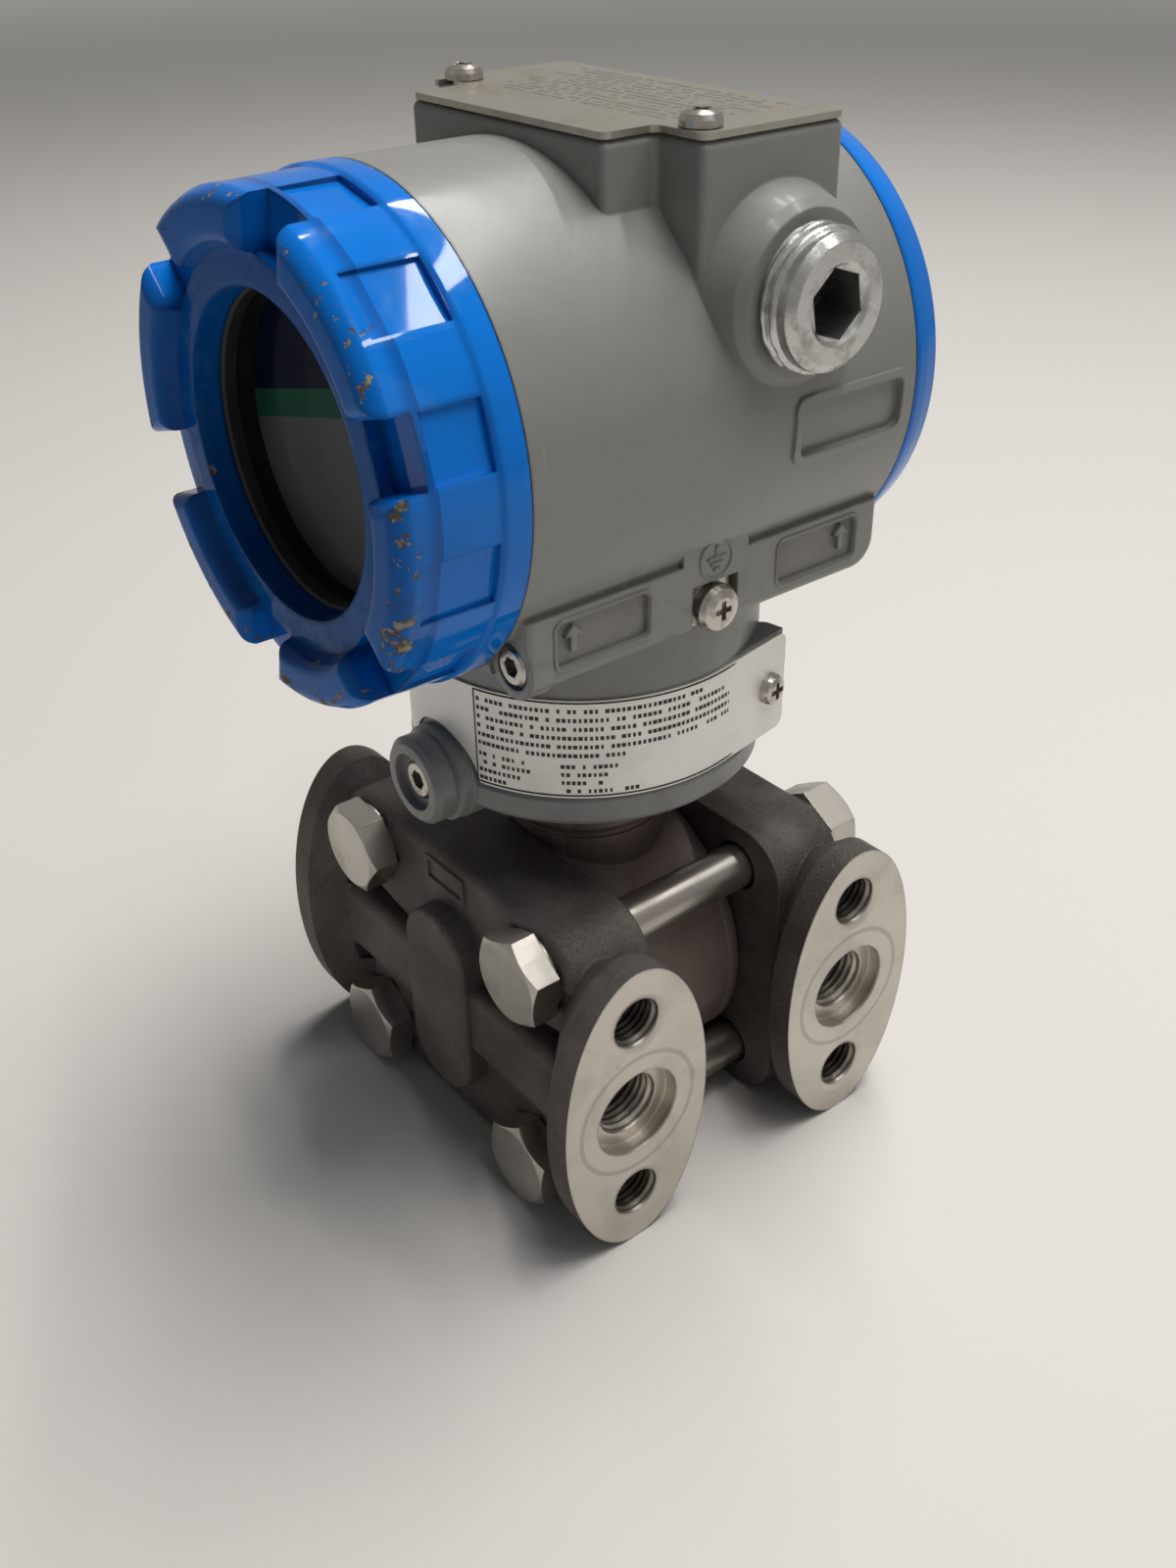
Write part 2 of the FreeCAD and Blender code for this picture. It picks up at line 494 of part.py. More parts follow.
def housing():
    """The cast electronics housing: barrel, neck, conduit block, side ledge and lock bosses."""
    barrel = cylinder("barrel", "barrel_radius", "2 * barrel_half", ("0", "-barrel_half", "axis_z"), "+Y")
    neck = turned("neck", [
        ("0", "neck_foot"), ("neck_lip - 1.5", "neck_foot"), ("neck_lip", "neck_foot + 1.5"),
        ("neck_lip", "neck_lip_top"), ("neck_radius", "neck_lip_top + 0.6"),
        ("neck_radius", "neck_top"), ("0", "neck_top")])
    wide = box("block_wide", ("-block_wide / 2", "block_step", "axis_z"),
               ("block_wide / 2", "block_rear", "block_top"))
    narrow = box("block_narrow", ("-narrow_left", "block_front", "axis_z"),
                 ("narrow_right", "block_rear - 1", "block_top"))
    block = rounded("block", fuse("block_sharp", wide, narrow), "block_edge",
                    lambda edge: runs_along(edge, (0, 0, 1))
                    or edge.BoundBox.ZMin > value("block_top") - 0.01)
    conduits = []
    for tag, side, aim in (("right", "", "+X"), ("left", "-", "-X")):
        conduits.append(turned("conduit_" + tag, [
            ("0", "0"), ("conduit_root + 2.4", "0"), ("conduit_root + 2", "22"), ("conduit_root - 1.6", "27"),
            ("conduit_flare + 0.8", "31"), ("conduit_flare", "33.5"),
            ("conduit_mouth + 0.5", "conduit_face - conduit_edge"),
            ("conduit_mouth - 0.8", "conduit_face"), ("0", "conduit_face")],
            ("0", "conduit_y", "conduit_z"), aim))
    sides = side_ledge()
    lock_boss = turned("neck_lock_boss", [
        ("0", "collar_start"), ("collar_radius + 0.4", "collar_start"),
        ("collar_radius + 0.3", "collar_face - 2.2"), ("collar_radius", "collar_face - 2"),
        ("collar_radius", "collar_face"), ("collar_radius - collar_groove", "collar_face + 0.5"),
        ("neck_lock_boss", "collar_face + 1.1"), ("neck_lock_boss", "neck_lock_face - 1"),
        ("neck_lock_boss - 1", "neck_lock_face"), ("0", "neck_lock_face")],
        ("0", "0", "neck_lock_z"), "-Y")
    pads = tab_pads()
    rim = panel_ring("terminal_rim", "barrel_radius - 1", "barrel_radius + panel_rim", "0", "panel_border")
    casting = fuse("housing_solid", barrel, neck, block, *conduits, *sides, lock_boss, *pads, rim)

    tools = [
        turned("front_room", [
            ("0", "-web_front"), ("barrel_bore", "-web_front"), ("barrel_bore", "barrel_half - spigot_depth"),
            ("spigot_bore", "barrel_half - spigot_depth"), ("spigot_bore", "barrel_half + 1"),
            ("0", "barrel_half + 1")], ("0", "0", "axis_z"), "-Y"),
        turned("rear_room", [
            ("0", "web_rear"), ("barrel_bore", "web_rear"), ("barrel_bore", "barrel_half - spigot_depth"),
            ("spigot_bore", "barrel_half - spigot_depth"), ("spigot_bore", "barrel_half + 1"),
            ("0", "barrel_half + 1")], ("0", "0", "axis_z"), "+Y"),
        cylinder("stem_room", "stem_bore", "stem_room - neck_foot + 1", ("0", "0", "neck_foot - 1")),
        cylinder("wire_room", "wire_bore", "30", ("0", "wire_y", "stem_room - 1")),
        cylinder("neck_lock_room", "neck_lock_radius + screw_gap", "neck_lock_face - stem_bore + 2",
                 ("0", "-neck_lock_face - 1", "neck_lock_z"), "+Y"),
        cylinder("neck_lock_sink", "neck_lock_hole", "neck_lock_sink + 1",
                 ("0", "-neck_lock_face - 1", "neck_lock_z"), "+Y"),
        panel_ring("terminal_sink", "barrel_radius - panel_sink", "barrel_radius + 5", "panel_border", "20"),
        cylinder("earth_tap", "earth_shank + screw_gap", "earth_screw_length + 1",
                 ("earth_floor + 1", "0", "earth_z"), "-X"),
    ] + tab_screw_holes("housing")
    for tag, side, aim in (("right", "", "+X"), ("left", "-", "-X")):
        tools.append(cylinder("conduit_bore_" + tag, "conduit_bore", "conduit_face - 14",
                              (side + "15", "conduit_y", "conduit_z"), aim))
    for tag, side in (("span", ""), ("zero", "-")):
        tools.append(cylinder(tag + "_well", "button_bore", "block_top - well_floor + 1",
                              (side + "button_x", "button_y", "well_floor")))
        tools.append(cylinder(tag + "_tap", "pivot_radius + screw_gap", "7",
                              (side + "pivot_x", "0", "block_top - 6")))
    tools.append(cylinder("front_lock_face", "cover_lock_lug + 0.2", "2",
                          ("cover_lock_x", "-front_lock_y - 2", "front_lock_z"), "+Y"))
    for tag, side, y, z, aim in COVER_LOCKS:
        start = ("cover_lock_x", "%s(%s + 1)" % (side, y), z)
        tools.append(cylinder(tag + "_cover_lock_room", "set_screw_hole", "lock_sink + 1",
                              start, OPPOSITE[aim]))
        tools.append(cylinder(tag + "_cover_lock_tap", "set_screw_radius + screw_gap",
                              "set_screw_length + 2", start, OPPOSITE[aim]))
    finish("housing", cut("housing_cast", casting, *tools))


def side_ledge():
    """The straight ledge on the +X side with sunk sign panels and a lug for the front cover lock."""
    bar = box("ledge_bar", ("side_back", "-side_half", "side_low"), ("side_face", "side_half", "side_high"))
    bar = rounded("ledge_corner", bar, "rear_corner", lambda edge: (
        runs_along(edge, (1, 0, 0)) and edge.BoundBox.YMin > 0 and edge.BoundBox.ZMax < value("axis_z") - 30))
    bar = rounded("ledge_round", bar, "side_round", lambda edge: (
        edge.BoundBox.XMin > value("side_face") - 0.01 and edge.BoundBox.ZMin < value("side_high") - 0.01))
    cuts = [box("earth_room", ("earth_floor", "-earth_half", "side_low - 1"),
                ("side_face + 1", "earth_half", "earth_top"))]
    for tag, side in (("front", "-"), ("rear", "")):
        low, high = ("-side_half - 1", "-ledge_gap") if side else ("ledge_gap", "side_half + 1")
        cuts.append(box(tag + "_step", ("side_face - ledge_depth", low, "side_high - ledge_height"),
                        ("side_face + 1", high, "side_high + 1")))
        low, high = ("-sign_far", "-sign_near") if side else ("sign_near", "sign_far")
        panel = box(tag + "_sign", ("side_face - sign_inset", low, "sign_low"),
                    ("side_face + 1", high, "sign_low + sign_height"))
        cuts.append(rounded(tag + "_sign_round", panel, "sign_round",
                            lambda edge: runs_along(edge, (1, 0, 0))))
    pieces = [cut("ledge", bar, *cuts),
              cylinder("front_lock_lug", "cover_lock_lug", "lock_lug_length",
                       ("cover_lock_x", "-front_lock_y", "front_lock_z"), "+Y")]
    upright = FreeCAD.Rotation(FreeCAD.Vector(0, 1, 0), FreeCAD.Vector(0, 0, 1), FreeCAD.Vector(1, 0, 0))
    for tag, side in (("front", "-"), ("rear", "")):
        arrow = extruded(tag + "_arrow", [
            ("0", "arrow_half"), ("-arrow_wide", "arrow_barb"), ("-arrow_stem", "arrow_barb"),
            ("-arrow_stem", "-arrow_half"), ("arrow_stem", "-arrow_half"), ("arrow_stem", "arrow_barb"),
            ("arrow_wide", "arrow_barb")], "sign_inset + 0.3")
        spot = ("side_face - sign_inset - 0.3", side + "arrow_y", "arrow_z")
        pieces.append(place(arrow, spot, turn=upright))
    return pieces


def panel_ring(name, inner, outer, inset, border):
    """A piece of shell round the barrel within the terminal sign's window.

    The window shrinks by the inset all round. A border under 10 leaves only a frame of that width.
    """
    shell = turned(name + "_shell", [
        (inner, "panel_near"), (outer, "panel_near"), (outer, "panel_far"), (inner, "panel_far")],
        ("0", "0", "axis_z"), "+Y")
    window = box(name + "_window", ("0", "panel_near + (%s)" % inset, "panel_low + (%s)" % inset),
                 ("barrel_radius + 9", "panel_far - (%s)" % inset, "panel_high - (%s)" % inset))
    window = rounded(name + "_window_round", window, "panel_round",
                     lambda edge: runs_along(edge, (1, 0, 0)))
    if value(border) < 10:
        hole = box(name + "_hole", ("-1", "panel_near + (%s)" % border, "panel_low + (%s)" % border),
                   ("barrel_radius + 10", "panel_far - (%s)" % border, "panel_high - (%s)" % border))
        hole = rounded(name + "_hole_round", hole, "panel_round - 0.8",
                       lambda edge: runs_along(edge, (1, 0, 0)))
        window = cut(name + "_frame", window, hole)
    return common(name, shell, window)


def tangent(name, thick, depth_from, length, low, high):
    """A straight strip that leaves the neck along its tangent, on the +X side."""
    strip = add("Part::Box", name, Length=thick, Width=length, Height="(%s) - (%s)" % (high, low))
    spot = ("(%s) * cos(tab_angle * 1 deg)" % depth_from, "(%s) * sin(tab_angle * 1 deg)" % depth_from, low)
    return place(strip, spot, turn=FreeCAD.Rotation(FreeCAD.Vector(0, 0, 1), value("tab_angle")))


def tab_pads():
    """Cast pads under the straight ends of the neck plate."""
    right = tangent("pad_right", "pad_thick", "neck_radius - pad_thick", "plate_tab - 0.5",
                    "plate_low + 0.3", "plate_high + 0.6")
    right = rounded("pad_right_round", right, "tab_round", lambda edge: (
        runs_along(edge, (0, 0, 1)) and edge.BoundBox.YMin > value("plate_tab") - 6
        and edge.BoundBox.XMin < value("neck_radius") - 6))
    return [right, mirrored("pad_left", right, (1, 0, 0))]


def screw_axis_spot(sign, distance):
    """Where a tab screw's axis crosses the given distance from the neck axis, as expressions."""
    angle = "tab_angle * 1 deg"
    x = "%s((%s) * cos(%s) - tab_screw * sin(%s))" % (sign, distance, angle, angle)
    y = "(%s) * sin(%s) + tab_screw * cos(%s)" % (distance, angle, angle)
    return x, y, "tab_screw_z"


def tab_side(angle):
    """The direction of a tab screw's head, level and turned so far from +X."""
    return FreeCAD.Rotation(FreeCAD.Vector(0, 0, 1), angle).multiply(AIM["+X"])


def tab_screw_holes(owner):
    """Holes for both tab screws, right through whatever they are cut from."""
    holes = []
    for tag, sign, angle in (("right", "", value("tab_angle")), ("left", "-", 180 - value("tab_angle"))):
        hole = add("Part::Cylinder", "%s_tab_hole_%s" % (owner, tag), Radius="tab_shank + screw_gap",
                   Height="tab_screw_length + 3")
        spot = screw_axis_spot(sign, "neck_radius + plate_sheet - tab_screw_length - 0.5")
        holes.append(place(hole, spot, turn=tab_side(angle)))
    return holes


def neck_plate():
    """The curved sheet round the front of the neck, with a straight tab at either end."""
    outer = add("Part::Cylinder", "neck_plate_outer", Radius="neck_radius + plate_sheet",
                Height="plate_high - plate_low")
    outer.Angle = 180 + 2 * value("tab_angle")
    start = FreeCAD.Rotation(FreeCAD.Vector(0, 0, 1), -180 - value("tab_angle"))
    place(outer, ("0", "0", "plate_low"), turn=start)
    inner = cylinder("neck_plate_inner", "neck_radius + screw_gap", "plate_high - plate_low + 2",
                     ("0", "0", "plate_low - 1"))
    notch = cylinder("neck_plate_notch", "collar_radius + notch_room", "neck_lock_face",
                     ("0", "0", "neck_lock_z"), "-Y")
    band = cut("neck_plate_band", outer, inner, notch)
    tab = tangent("neck_plate_tab", "plate_sheet", "neck_radius", "plate_tab", "plate_low", "plate_high")
    tab = rounded("neck_plate_tab_round", tab, "tab_round", lambda edge: (
        not runs_along(edge, (0, 0, 1)) and edge.Length < 1 and edge.BoundBox.YMin > value("plate_tab") - 3))
    whole = fuse("neck_plate_sheet", band, tab, mirrored("neck_plate_tab_left", tab, (1, 0, 0)))
    finish("neck_plate", cut("neck_plate_cut", whole, *tab_screw_holes("neck_plate")))


def pan_screw(name, radius, height, shank, shank_length):
    """A pan head screw on its own Z: the bearing face at 0, the head above, the shank below."""
    head = turned(name + "_turned", [
        ("0", "-(%s)" % shank_length), (shank, "-(%s)" % shank_length), (shank, "0"), (radius, "0"),
        (radius, "(%s) * 0.45" % height), ("(%s) * 0.88" % radius, "(%s) * 0.8" % height),
        ("(%s) * 0.55" % radius, height), ("0", height)])
    recess_floor = ("0", "0", "(%s) - cross_depth + 0.01" % height)
    return cut(name, head, cross_recess(name + "_cross", recess_floor, "+Z"))


def neck_plate_screws():
    screws = []
    for tag, sign, angle in (("right", "", value("tab_angle")), ("left", "-", 180 - value("tab_angle"))):
        screw = pan_screw("tab_screw_" + tag, "tab_pan", "tab_pan_height", "tab_shank", "tab_screw_length")
        place(screw, screw_axis_spot(sign, "neck_radius + plate_sheet"), turn=tab_side(angle))
        screws.append(screw)
    compound("neck_plate_screws", *screws)


def set_screw(name, radius, length, at, aim):
    """A socket set screw whose ring face lies at the given point."""
    core = turned(name + "_core", [
        ("0", "0"), ("(%s) - 0.5" % radius, "0"), (radius, "-0.5"), (radius, "0.6 - (%s)" % length),
        ("(%s) - 0.6" % radius, "-(%s)" % length), ("0", "-(%s)" % length)])
    socket = prism(name + "_socket", "(%s) * 0.93" % radius, "3.4", ("0", "0", "-3.2"))
    return place(cut(name, core, socket), at, aim)


def lock_screws():
    """Socket screws that lock the covers and hold the housing on its stem."""
    covers = [set_screw(tag + "_cover_lock", "set_screw_radius", "set_screw_length",
                        ("cover_lock_x", "%s(%s + lock_proud)" % (side, y), z), aim)
              for tag, side, y, z, aim in COVER_LOCKS]
    compound("cover_lock_screws", *covers)
    finish("housing_lock_screw", set_screw(
        "neck_lock", "neck_lock_radius", "neck_lock_face - stem_bore - 1.5",
        ("0", "-neck_lock_face + 1.2", "neck_lock_z"), "-Y"))


def earth_terminal():
    """External earth screw and the clamp washer under its head."""
    screw = pan_screw("earth_screw_shape", "earth_pan", "earth_pan_height", "earth_shank",
                      "earth_screw_length")
    seat = ("earth_floor + washer_sheet + spring_washer_sheet", "0", "earth_z")
    finish("earth_screw", place(screw, seat, "+X"))
    sheet_part = box("washer_sheet_blank", ("earth_floor", "-washer_half", "earth_z - washer_half + 1.4"),
                     ("earth_floor + washer_sheet", "washer_half", "earth_z + washer_half"))
    hole = "earth_shank + 2 * screw_gap"
    spring = turned("washer_spring", [
        (hole, "0"), ("spring_washer", "0"), ("spring_washer", "spring_washer_sheet"),
        (hole, "spring_washer_sheet")], ("earth_floor + washer_sheet", "0", "earth_z"), "+X")
    bore = cylinder("washer_bore", hole, "washer_half", ("earth_floor - 1", "0", "earth_z"), "+X")
    finish("earth_washer", cut("washer", fuse("washer_stack", sheet_part, spring), bore))


def conduit_plugs():
    """Threaded hexagon-socket plugs in both conduit entries."""
    for tag, side, aim in (("right", "", "+X"), ("left", "-", "-X")):
        core = turned("plug_%s_core" % tag, [
            ("0", "plug_inner"), ("plug_radius - 1", "plug_inner"), ("plug_radius", "plug_inner + 1"),
            ("plug_radius", "plug_end - plug_edge"), ("plug_radius - plug_edge", "plug_end"),
            ("plug_hex / 2 + 1.3", "plug_end"), ("plug_hex / 2 + 0.6", "plug_end - 0.6"),
            ("0", "plug_end - 0.6")], ("0", "conduit_y", "conduit_z"), aim)
        socket = prism("plug_%s_socket" % tag, "plug_hex", "plug_hex_depth + 1",
                       (side + "(plug_end - plug_hex_depth)", "conduit_y", "conduit_z"), aim, 11)
        finish("conduit_plug_" + tag, cut("plug_" + tag, core, socket))


def top_plate():
    """The T-shaped sheet over the buttons: a round hole at its pivot and an open slot opposite."""
    sheet_part = extruded("top_sheet_blank", [
        ("-plate_left", "block_front"), ("narrow_right", "block_front"),
        ("narrow_right", "block_step"), ("block_wide / 2", "block_step"),
        ("block_wide / 2", "block_rear"), ("-block_wide / 2", "block_rear"),
        ("-block_wide / 2", "block_step"), ("-plate_left", "block_step")], "top_sheet",
        ("0", "0", "block_top + top_gap"))
    sheet_part = rounded("top_sheet_round", sheet_part, "top_corner",
                         lambda edge: runs_along(edge, (0, 0, 1)))
    hole = cylinder("pivot_hole", "pivot_radius + pivot_clearance", "4", ("pivot_x", "0", "block_top - 1"))
    slot_end = cylinder("slot_end", "slot_radius", "4", ("-pivot_x", "0", "block_top - 1"))
    slot = box("slot", ("-pivot_x - slot_radius", "block_step - 2", "block_top - 1"),
               ("-pivot_x + slot_radius", "0", "block_top + 3"))
    finish("top_plate", cut("top_sheet_cut", sheet_part, hole, slot_end, slot))
    screws = []
    for tag, side in (("right", ""), ("left", "-")):
        screw = pan_screw("top_screw_" + tag, "pan_radius", "pan_height", "pivot_radius", "6")
        screws.append(place(screw, (side + "pivot_x", "0", "block_top + top_gap + top_sheet + pan_gap")))
    compound("top_plate_screws", *screws)


def buttons():
    """Zero and span plungers with the coil springs that return them."""
    for tag, side in (("span", ""), ("zero", "-")):
        spot = (side + "button_x", "button_y")
        plunger = turned(tag + "_plunger", [
            ("0", "button_top - button_length"), ("button_radius", "button_top - button_length"),
            ("button_radius", "button_top - 0.6"), ("button_radius - 0.6", "button_top"),
            ("1", "button_top"), ("1", "button_top - 0.8"), ("0", "button_top - 0.8")], spot + ("0",))
        finish(tag + "_button", plunger)
        helix = add("Part::Helix", tag + "_helix", Radius="spring_radius",
                    Pitch="(button_top - button_length - well_floor - 2 * (spring_wire + spring_gap))"
                          " / spring_turns",
                    Height="button_top - button_length - well_floor - 2 * (spring_wire + spring_gap)")
        wire = add("Part::Circle", tag + "_wire", Radius="spring_wire")
        place(wire, ("spring_radius", "0", "0"), "-Y")
        coil = doc.addObject("Part::Sweep", tag + "_coil")
        coil.Sections = [wire]
        coil.Spine = helix
        coil.Solid = True
        coil.Frenet = True
        finish(tag + "_spring", place(coil, spot + ("well_floor + spring_wire + spring_gap",)))


# ---------------------------------------------------------------- covers
def cover(label, profile, aim, seam, lug_inner, lug_top, notch_floor, lug_round, panels):
    """A screwed cover with six gripping lugs: turned, then notched and panelled all round."""
    body = doc.addObject("PartDesign::Body", label + "_body")
    section = body_sketch(body, label + "_section", "XZ_Plane", "0")
    outline(section, profile)
    blank = body.newObject("PartDesign::Revolution", label + "_blank")
    blank.Profile = section
    blank.ReferenceAxis = (section, ["V_Axis"])
    blank.Angle = 360
    body.Tip = blank
    doc.recompute()
    axis = next(item for item in body.Origin.OriginFeatures if item.Role == "Z_Axis")

    def ring_of(name, pocket):
        pattern = body.newObject("PartDesign::PolarPattern", name)
        pattern.Originals = [pocket]
        pattern.Axis = (axis, [""])
        pattern.Angle = 360
        pattern.Occurrences = 6
        body.Tip = pattern
        doc.recompute()

    notch_plan = body_sketch(body, label + "_notch_plan", "XY_Plane", lug_top + " + 1")
    outline(notch_plan, [(lug_inner + " - 1", "-notch_width / 2"), ("rim_radius + 2", "-notch_width / 2"),
                         ("rim_radius + 2", "notch_width / 2"), (lug_inner + " - 1", "notch_width / 2")])
    notch = body.newObject("PartDesign::Pocket", label + "_notch")
    notch.Profile = notch_plan
    bind(notch, Length="(%s) + 1 - (%s)" % (lug_top, notch_floor))
    body.Tip = notch
    doc.recompute()
    ring_of(label + "_notches", notch)

    for index, (start, end, turn) in enumerate(panels):
        plan = body_sketch(body, "%s_panel_plan%d" % (label, index), "YZ_Plane", "panel_flat")
        outline(plan, [("-panel_width / 2", start), ("panel_width / 2", start),
                       ("panel_width / 2", end), ("-panel_width / 2", end)])
        if turn:
            plan.AttachmentOffset = FreeCAD.Placement(
                FreeCAD.Vector(), FreeCAD.Rotation(FreeCAD.Vector(0, 1, 0), turn))
            angle = "%d deg" % turn
            bind(plan, **{"AttachmentOffset.Base.x": "panel_flat * sin(%s)" % angle,
                          "AttachmentOffset.Base.z": "panel_flat * cos(%s)" % angle})
        panel = body.newObject("PartDesign::Pocket", "%s_panel%d" % (label, index))
        panel.Profile = plan
        panel.Reversed = True
        bind(panel, Length="5")
        body.Tip = panel
        doc.recompute()
        ring_of("%s_panels%d" % (label, index), panel)

    top = value(lug_top)
    tip = body.Tip
    rim_edges = ["Edge%d" % i for i, edge in enumerate(tip.Shape.Edges, 1)
                 if abs(edge.BoundBox.ZMin - top) < 1e-4 and abs(edge.BoundBox.ZMax - top) < 1e-4]
    softened = body.newObject("PartDesign::Fillet", label + "_softened")
    softened.Base = (tip, rim_edges)
    bind(softened, Radius=lug_round)
    body.Tip = softened
    spin = FreeCAD.Rotation(FreeCAD.Vector(0, 0, 1), value("notch_turn"))
    place(body, ("0", seam, "axis_z"), turn=AIM[aim].multiply(spin))
    finish(label, body)


def spigot():
    """Profile of the threaded spigot, its seal groove and the rim, shared by both covers."""
    return [("cover_cavity", "-spigot_length"), ("spigot_radius - spigot_edge", "-spigot_length"),
            ("spigot_radius", "spigot_edge - spigot_length"), ("spigot_radius", "-ring_far"),
            ("ring_floor", "-ring_far"), ("ring_floor", "-ring_near"), ("spigot_radius", "-ring_near"),
            ("spigot_radius", "seam_gap"), ("rim_radius", "seam_gap")]


def covers():
    front = spigot() + [
        ("rim_radius", "rim_length"), ("skirt_radius", "skirt_step"),
        ("skirt_radius - 0.3", "front_shoulder - 2.6"), ("lug_radius", "front_shoulder"),
        ("lug_inner + 0.5", "front_shoulder"), ("lug_inner - 0.6", "window_face"),
        ("window_radius", "window_face"), ("window_radius - 0.4", "window_seat"),
        ("seat_radius", "window_seat"), ("seat_radius", "cavity_top"), ("cover_cavity", "cavity_top")]
    cover("front_cover", front, "-Y", "-barrel_half", "lug_inner", "front_shoulder", "notch_floor",
          "front_round", [("panel_start", "short_panel", 0), ("panel_start", "long_panel", 30)])
    rear = spigot() + [
        ("rim_radius", "rear_rim"), ("rear_mid", "rear_mid_at"), ("rear_slope", "rear_slope_at"),
        ("rear_brow", "rear_face"), ("rear_lug_radius", "rear_lug"), ("rear_lug_inner", "rear_lug"),
        ("rear_lug_inner - 0.6", "rear_face"), ("0", "rear_face"), ("0", "rear_cavity"),
        ("cover_cavity", "rear_cavity")]
    cover("rear_cover", rear, "+Y", "barrel_half", "rear_lug_inner", "rear_lug", "rear_notch_floor",
          "rear_round", [])

    for tag, side, aim in (("front", "-", "-Y"), ("rear", "", "+Y")):
        at = ("0", "%s(barrel_half - (ring_near + ring_far) / 2)" % side, "axis_z")
        finish(tag + "_cover_seal", ring_solid(tag + "_ring", "ring_radius", "ring_section", at, aim))

    def stack(label, inner, outer, near, far):
        finish(label, turned(label + "_turned", [(inner, near), (outer, near), (outer, far), (inner, far)],
                             ("0", "-barrel_half", "axis_z"), "-Y"))

    glass_top = "window_seat - gasket_sheet"
    glass_low = glass_top + " - glass_sheet"
    stack("window_gasket", "window_gasket_radius", "seat_radius - retainer_clearance",
          glass_top, "window_seat")
    stack("window_glass", "0", "seat_radius - retainer_clearance", glass_low, glass_top)
    stack("window_retainer", "retainer_inner", "seat_radius - retainer_clearance",
          glass_low + " - retainer_sheet", glass_low)


# ---------------------------------------------------------------- pieces inside the housing
def inner_pieces():
    """Electronics, display and terminal block."""
    finish("electronics_module", cylinder(
        "electronics_shape", "module_radius", "module_front - module_rear",
        ("0", "-module_rear", "axis_z"), "-Y"))
    case = cylinder("display_case", "display_radius", "display_front - module_front",
                    ("0", "-module_front", "axis_z"), "-Y")
    recess = box("display_recess", ("-lcd_wide / 2", "-display_front - 1", "axis_z - lcd_high / 2"),
                 ("lcd_wide / 2", "-display_front + lcd_sheet", "axis_z + lcd_high / 2"))
    finish("display_module", cut("display_shape", case, recess))
    finish("display_glass", box(
        "display_glass_sheet", ("-lcd_wide / 2 + 0.1", "-display_front - 0.2", "axis_z - lcd_high / 2 + 0.1"),
        ("lcd_wide / 2 - 0.1", "-display_front + lcd_sheet", "axis_z + lcd_high / 2 - 0.1")))

    disc = cylinder("terminal_disc", "terminal_radius", "terminal_face - terminal_front",
                    ("0", "terminal_front", "axis_z"), "+Y")
    room = box("terminal_room", ("-40", "0", "terminal_low"), ("40", "40", "terminal_high"))
    pitches = ("-terminal_pitch", "0", "terminal_pitch")
    wells = [turned("terminal_well%d" % index, [
        ("0", "-2.5"), ("terminal_shank + screw_gap", "-2.5"), ("terminal_shank + screw_gap", "0"),
        ("terminal_well", "0"), ("terminal_well", "terminal_sink + 1"), ("0", "terminal_sink + 1")],
        (x, "terminal_face - terminal_sink", "terminal_z"), "+Y") for index, x in enumerate(pitches)]
    walls = [box("terminal_wall%d" % index, ("%s - 0.8" % x, "terminal_face - 1", "terminal_z - 8"),
                 ("%s + 0.8" % x, "terminal_face + 3", "terminal_z + 8"))
             for index, x in enumerate(("-terminal_pitch * 1.5", "-terminal_pitch / 2", "terminal_pitch / 2",
                                        "terminal_pitch * 1.5"))]
    block = common("terminal_slab", disc, room)
    finish("terminal_block", cut("terminal_shape", fuse("terminal_walled", block, *walls), *wells))
    screws = [place(pan_screw("terminal_screw%d" % index, "terminal_screw", "2.2", "terminal_shank", "2"),
                    (x, "terminal_face - terminal_sink + 0.1", "terminal_z"), "+Y")
              for index, x in enumerate(pitches)]
    compound("terminal_screws", *screws)


flange("high_side_flange", NEAR_END, FAR_END)
flange("low_side_flange", FAR_END, NEAR_END, FreeCAD.Rotation(FreeCAD.Vector(0, 0, 1), 180))
flange_bolts()
flange_nuts()
sensor_capsule()
sealing_rings()
blank_plugs()
housing()
neck_plate()
neck_plate_screws()
lock_screws()
earth_terminal()
conduit_plugs()
top_plate()
buttons()
covers()
inner_pieces()
doc.recompute()

broken = [item.Name for item in doc.Objects if "Invalid" in item.State or "Error" in item.State]
bad = [part.Label for part in PARTS if not part.Shape.isValid() or not part.Shape.Solids]
if broken or bad:
    raise RuntimeError("broken: %s, not solid: %s" % (broken, bad))
os.makedirs("parts", exist_ok=True)
for part in PARTS:
    part.Shape.exportStep("parts/%s.step" % part.Label)
print("%d parts" % len(PARTS))
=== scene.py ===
"""Looks of a differential pressure transmitter.

It gives the CAD nodes their finishes and adds screw threads, print, raised marks, the window and the springs.
Meshes are in metres in the row frame, and sizes are given in millimetres. The sensor module stands on the
upright axis at AXIS_X, the round housing lies along Y at the height of BARREL_Z, and the process ports open
towards +X.
"""

import json
import math

import bmesh
import bpy
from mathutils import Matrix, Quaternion, Vector

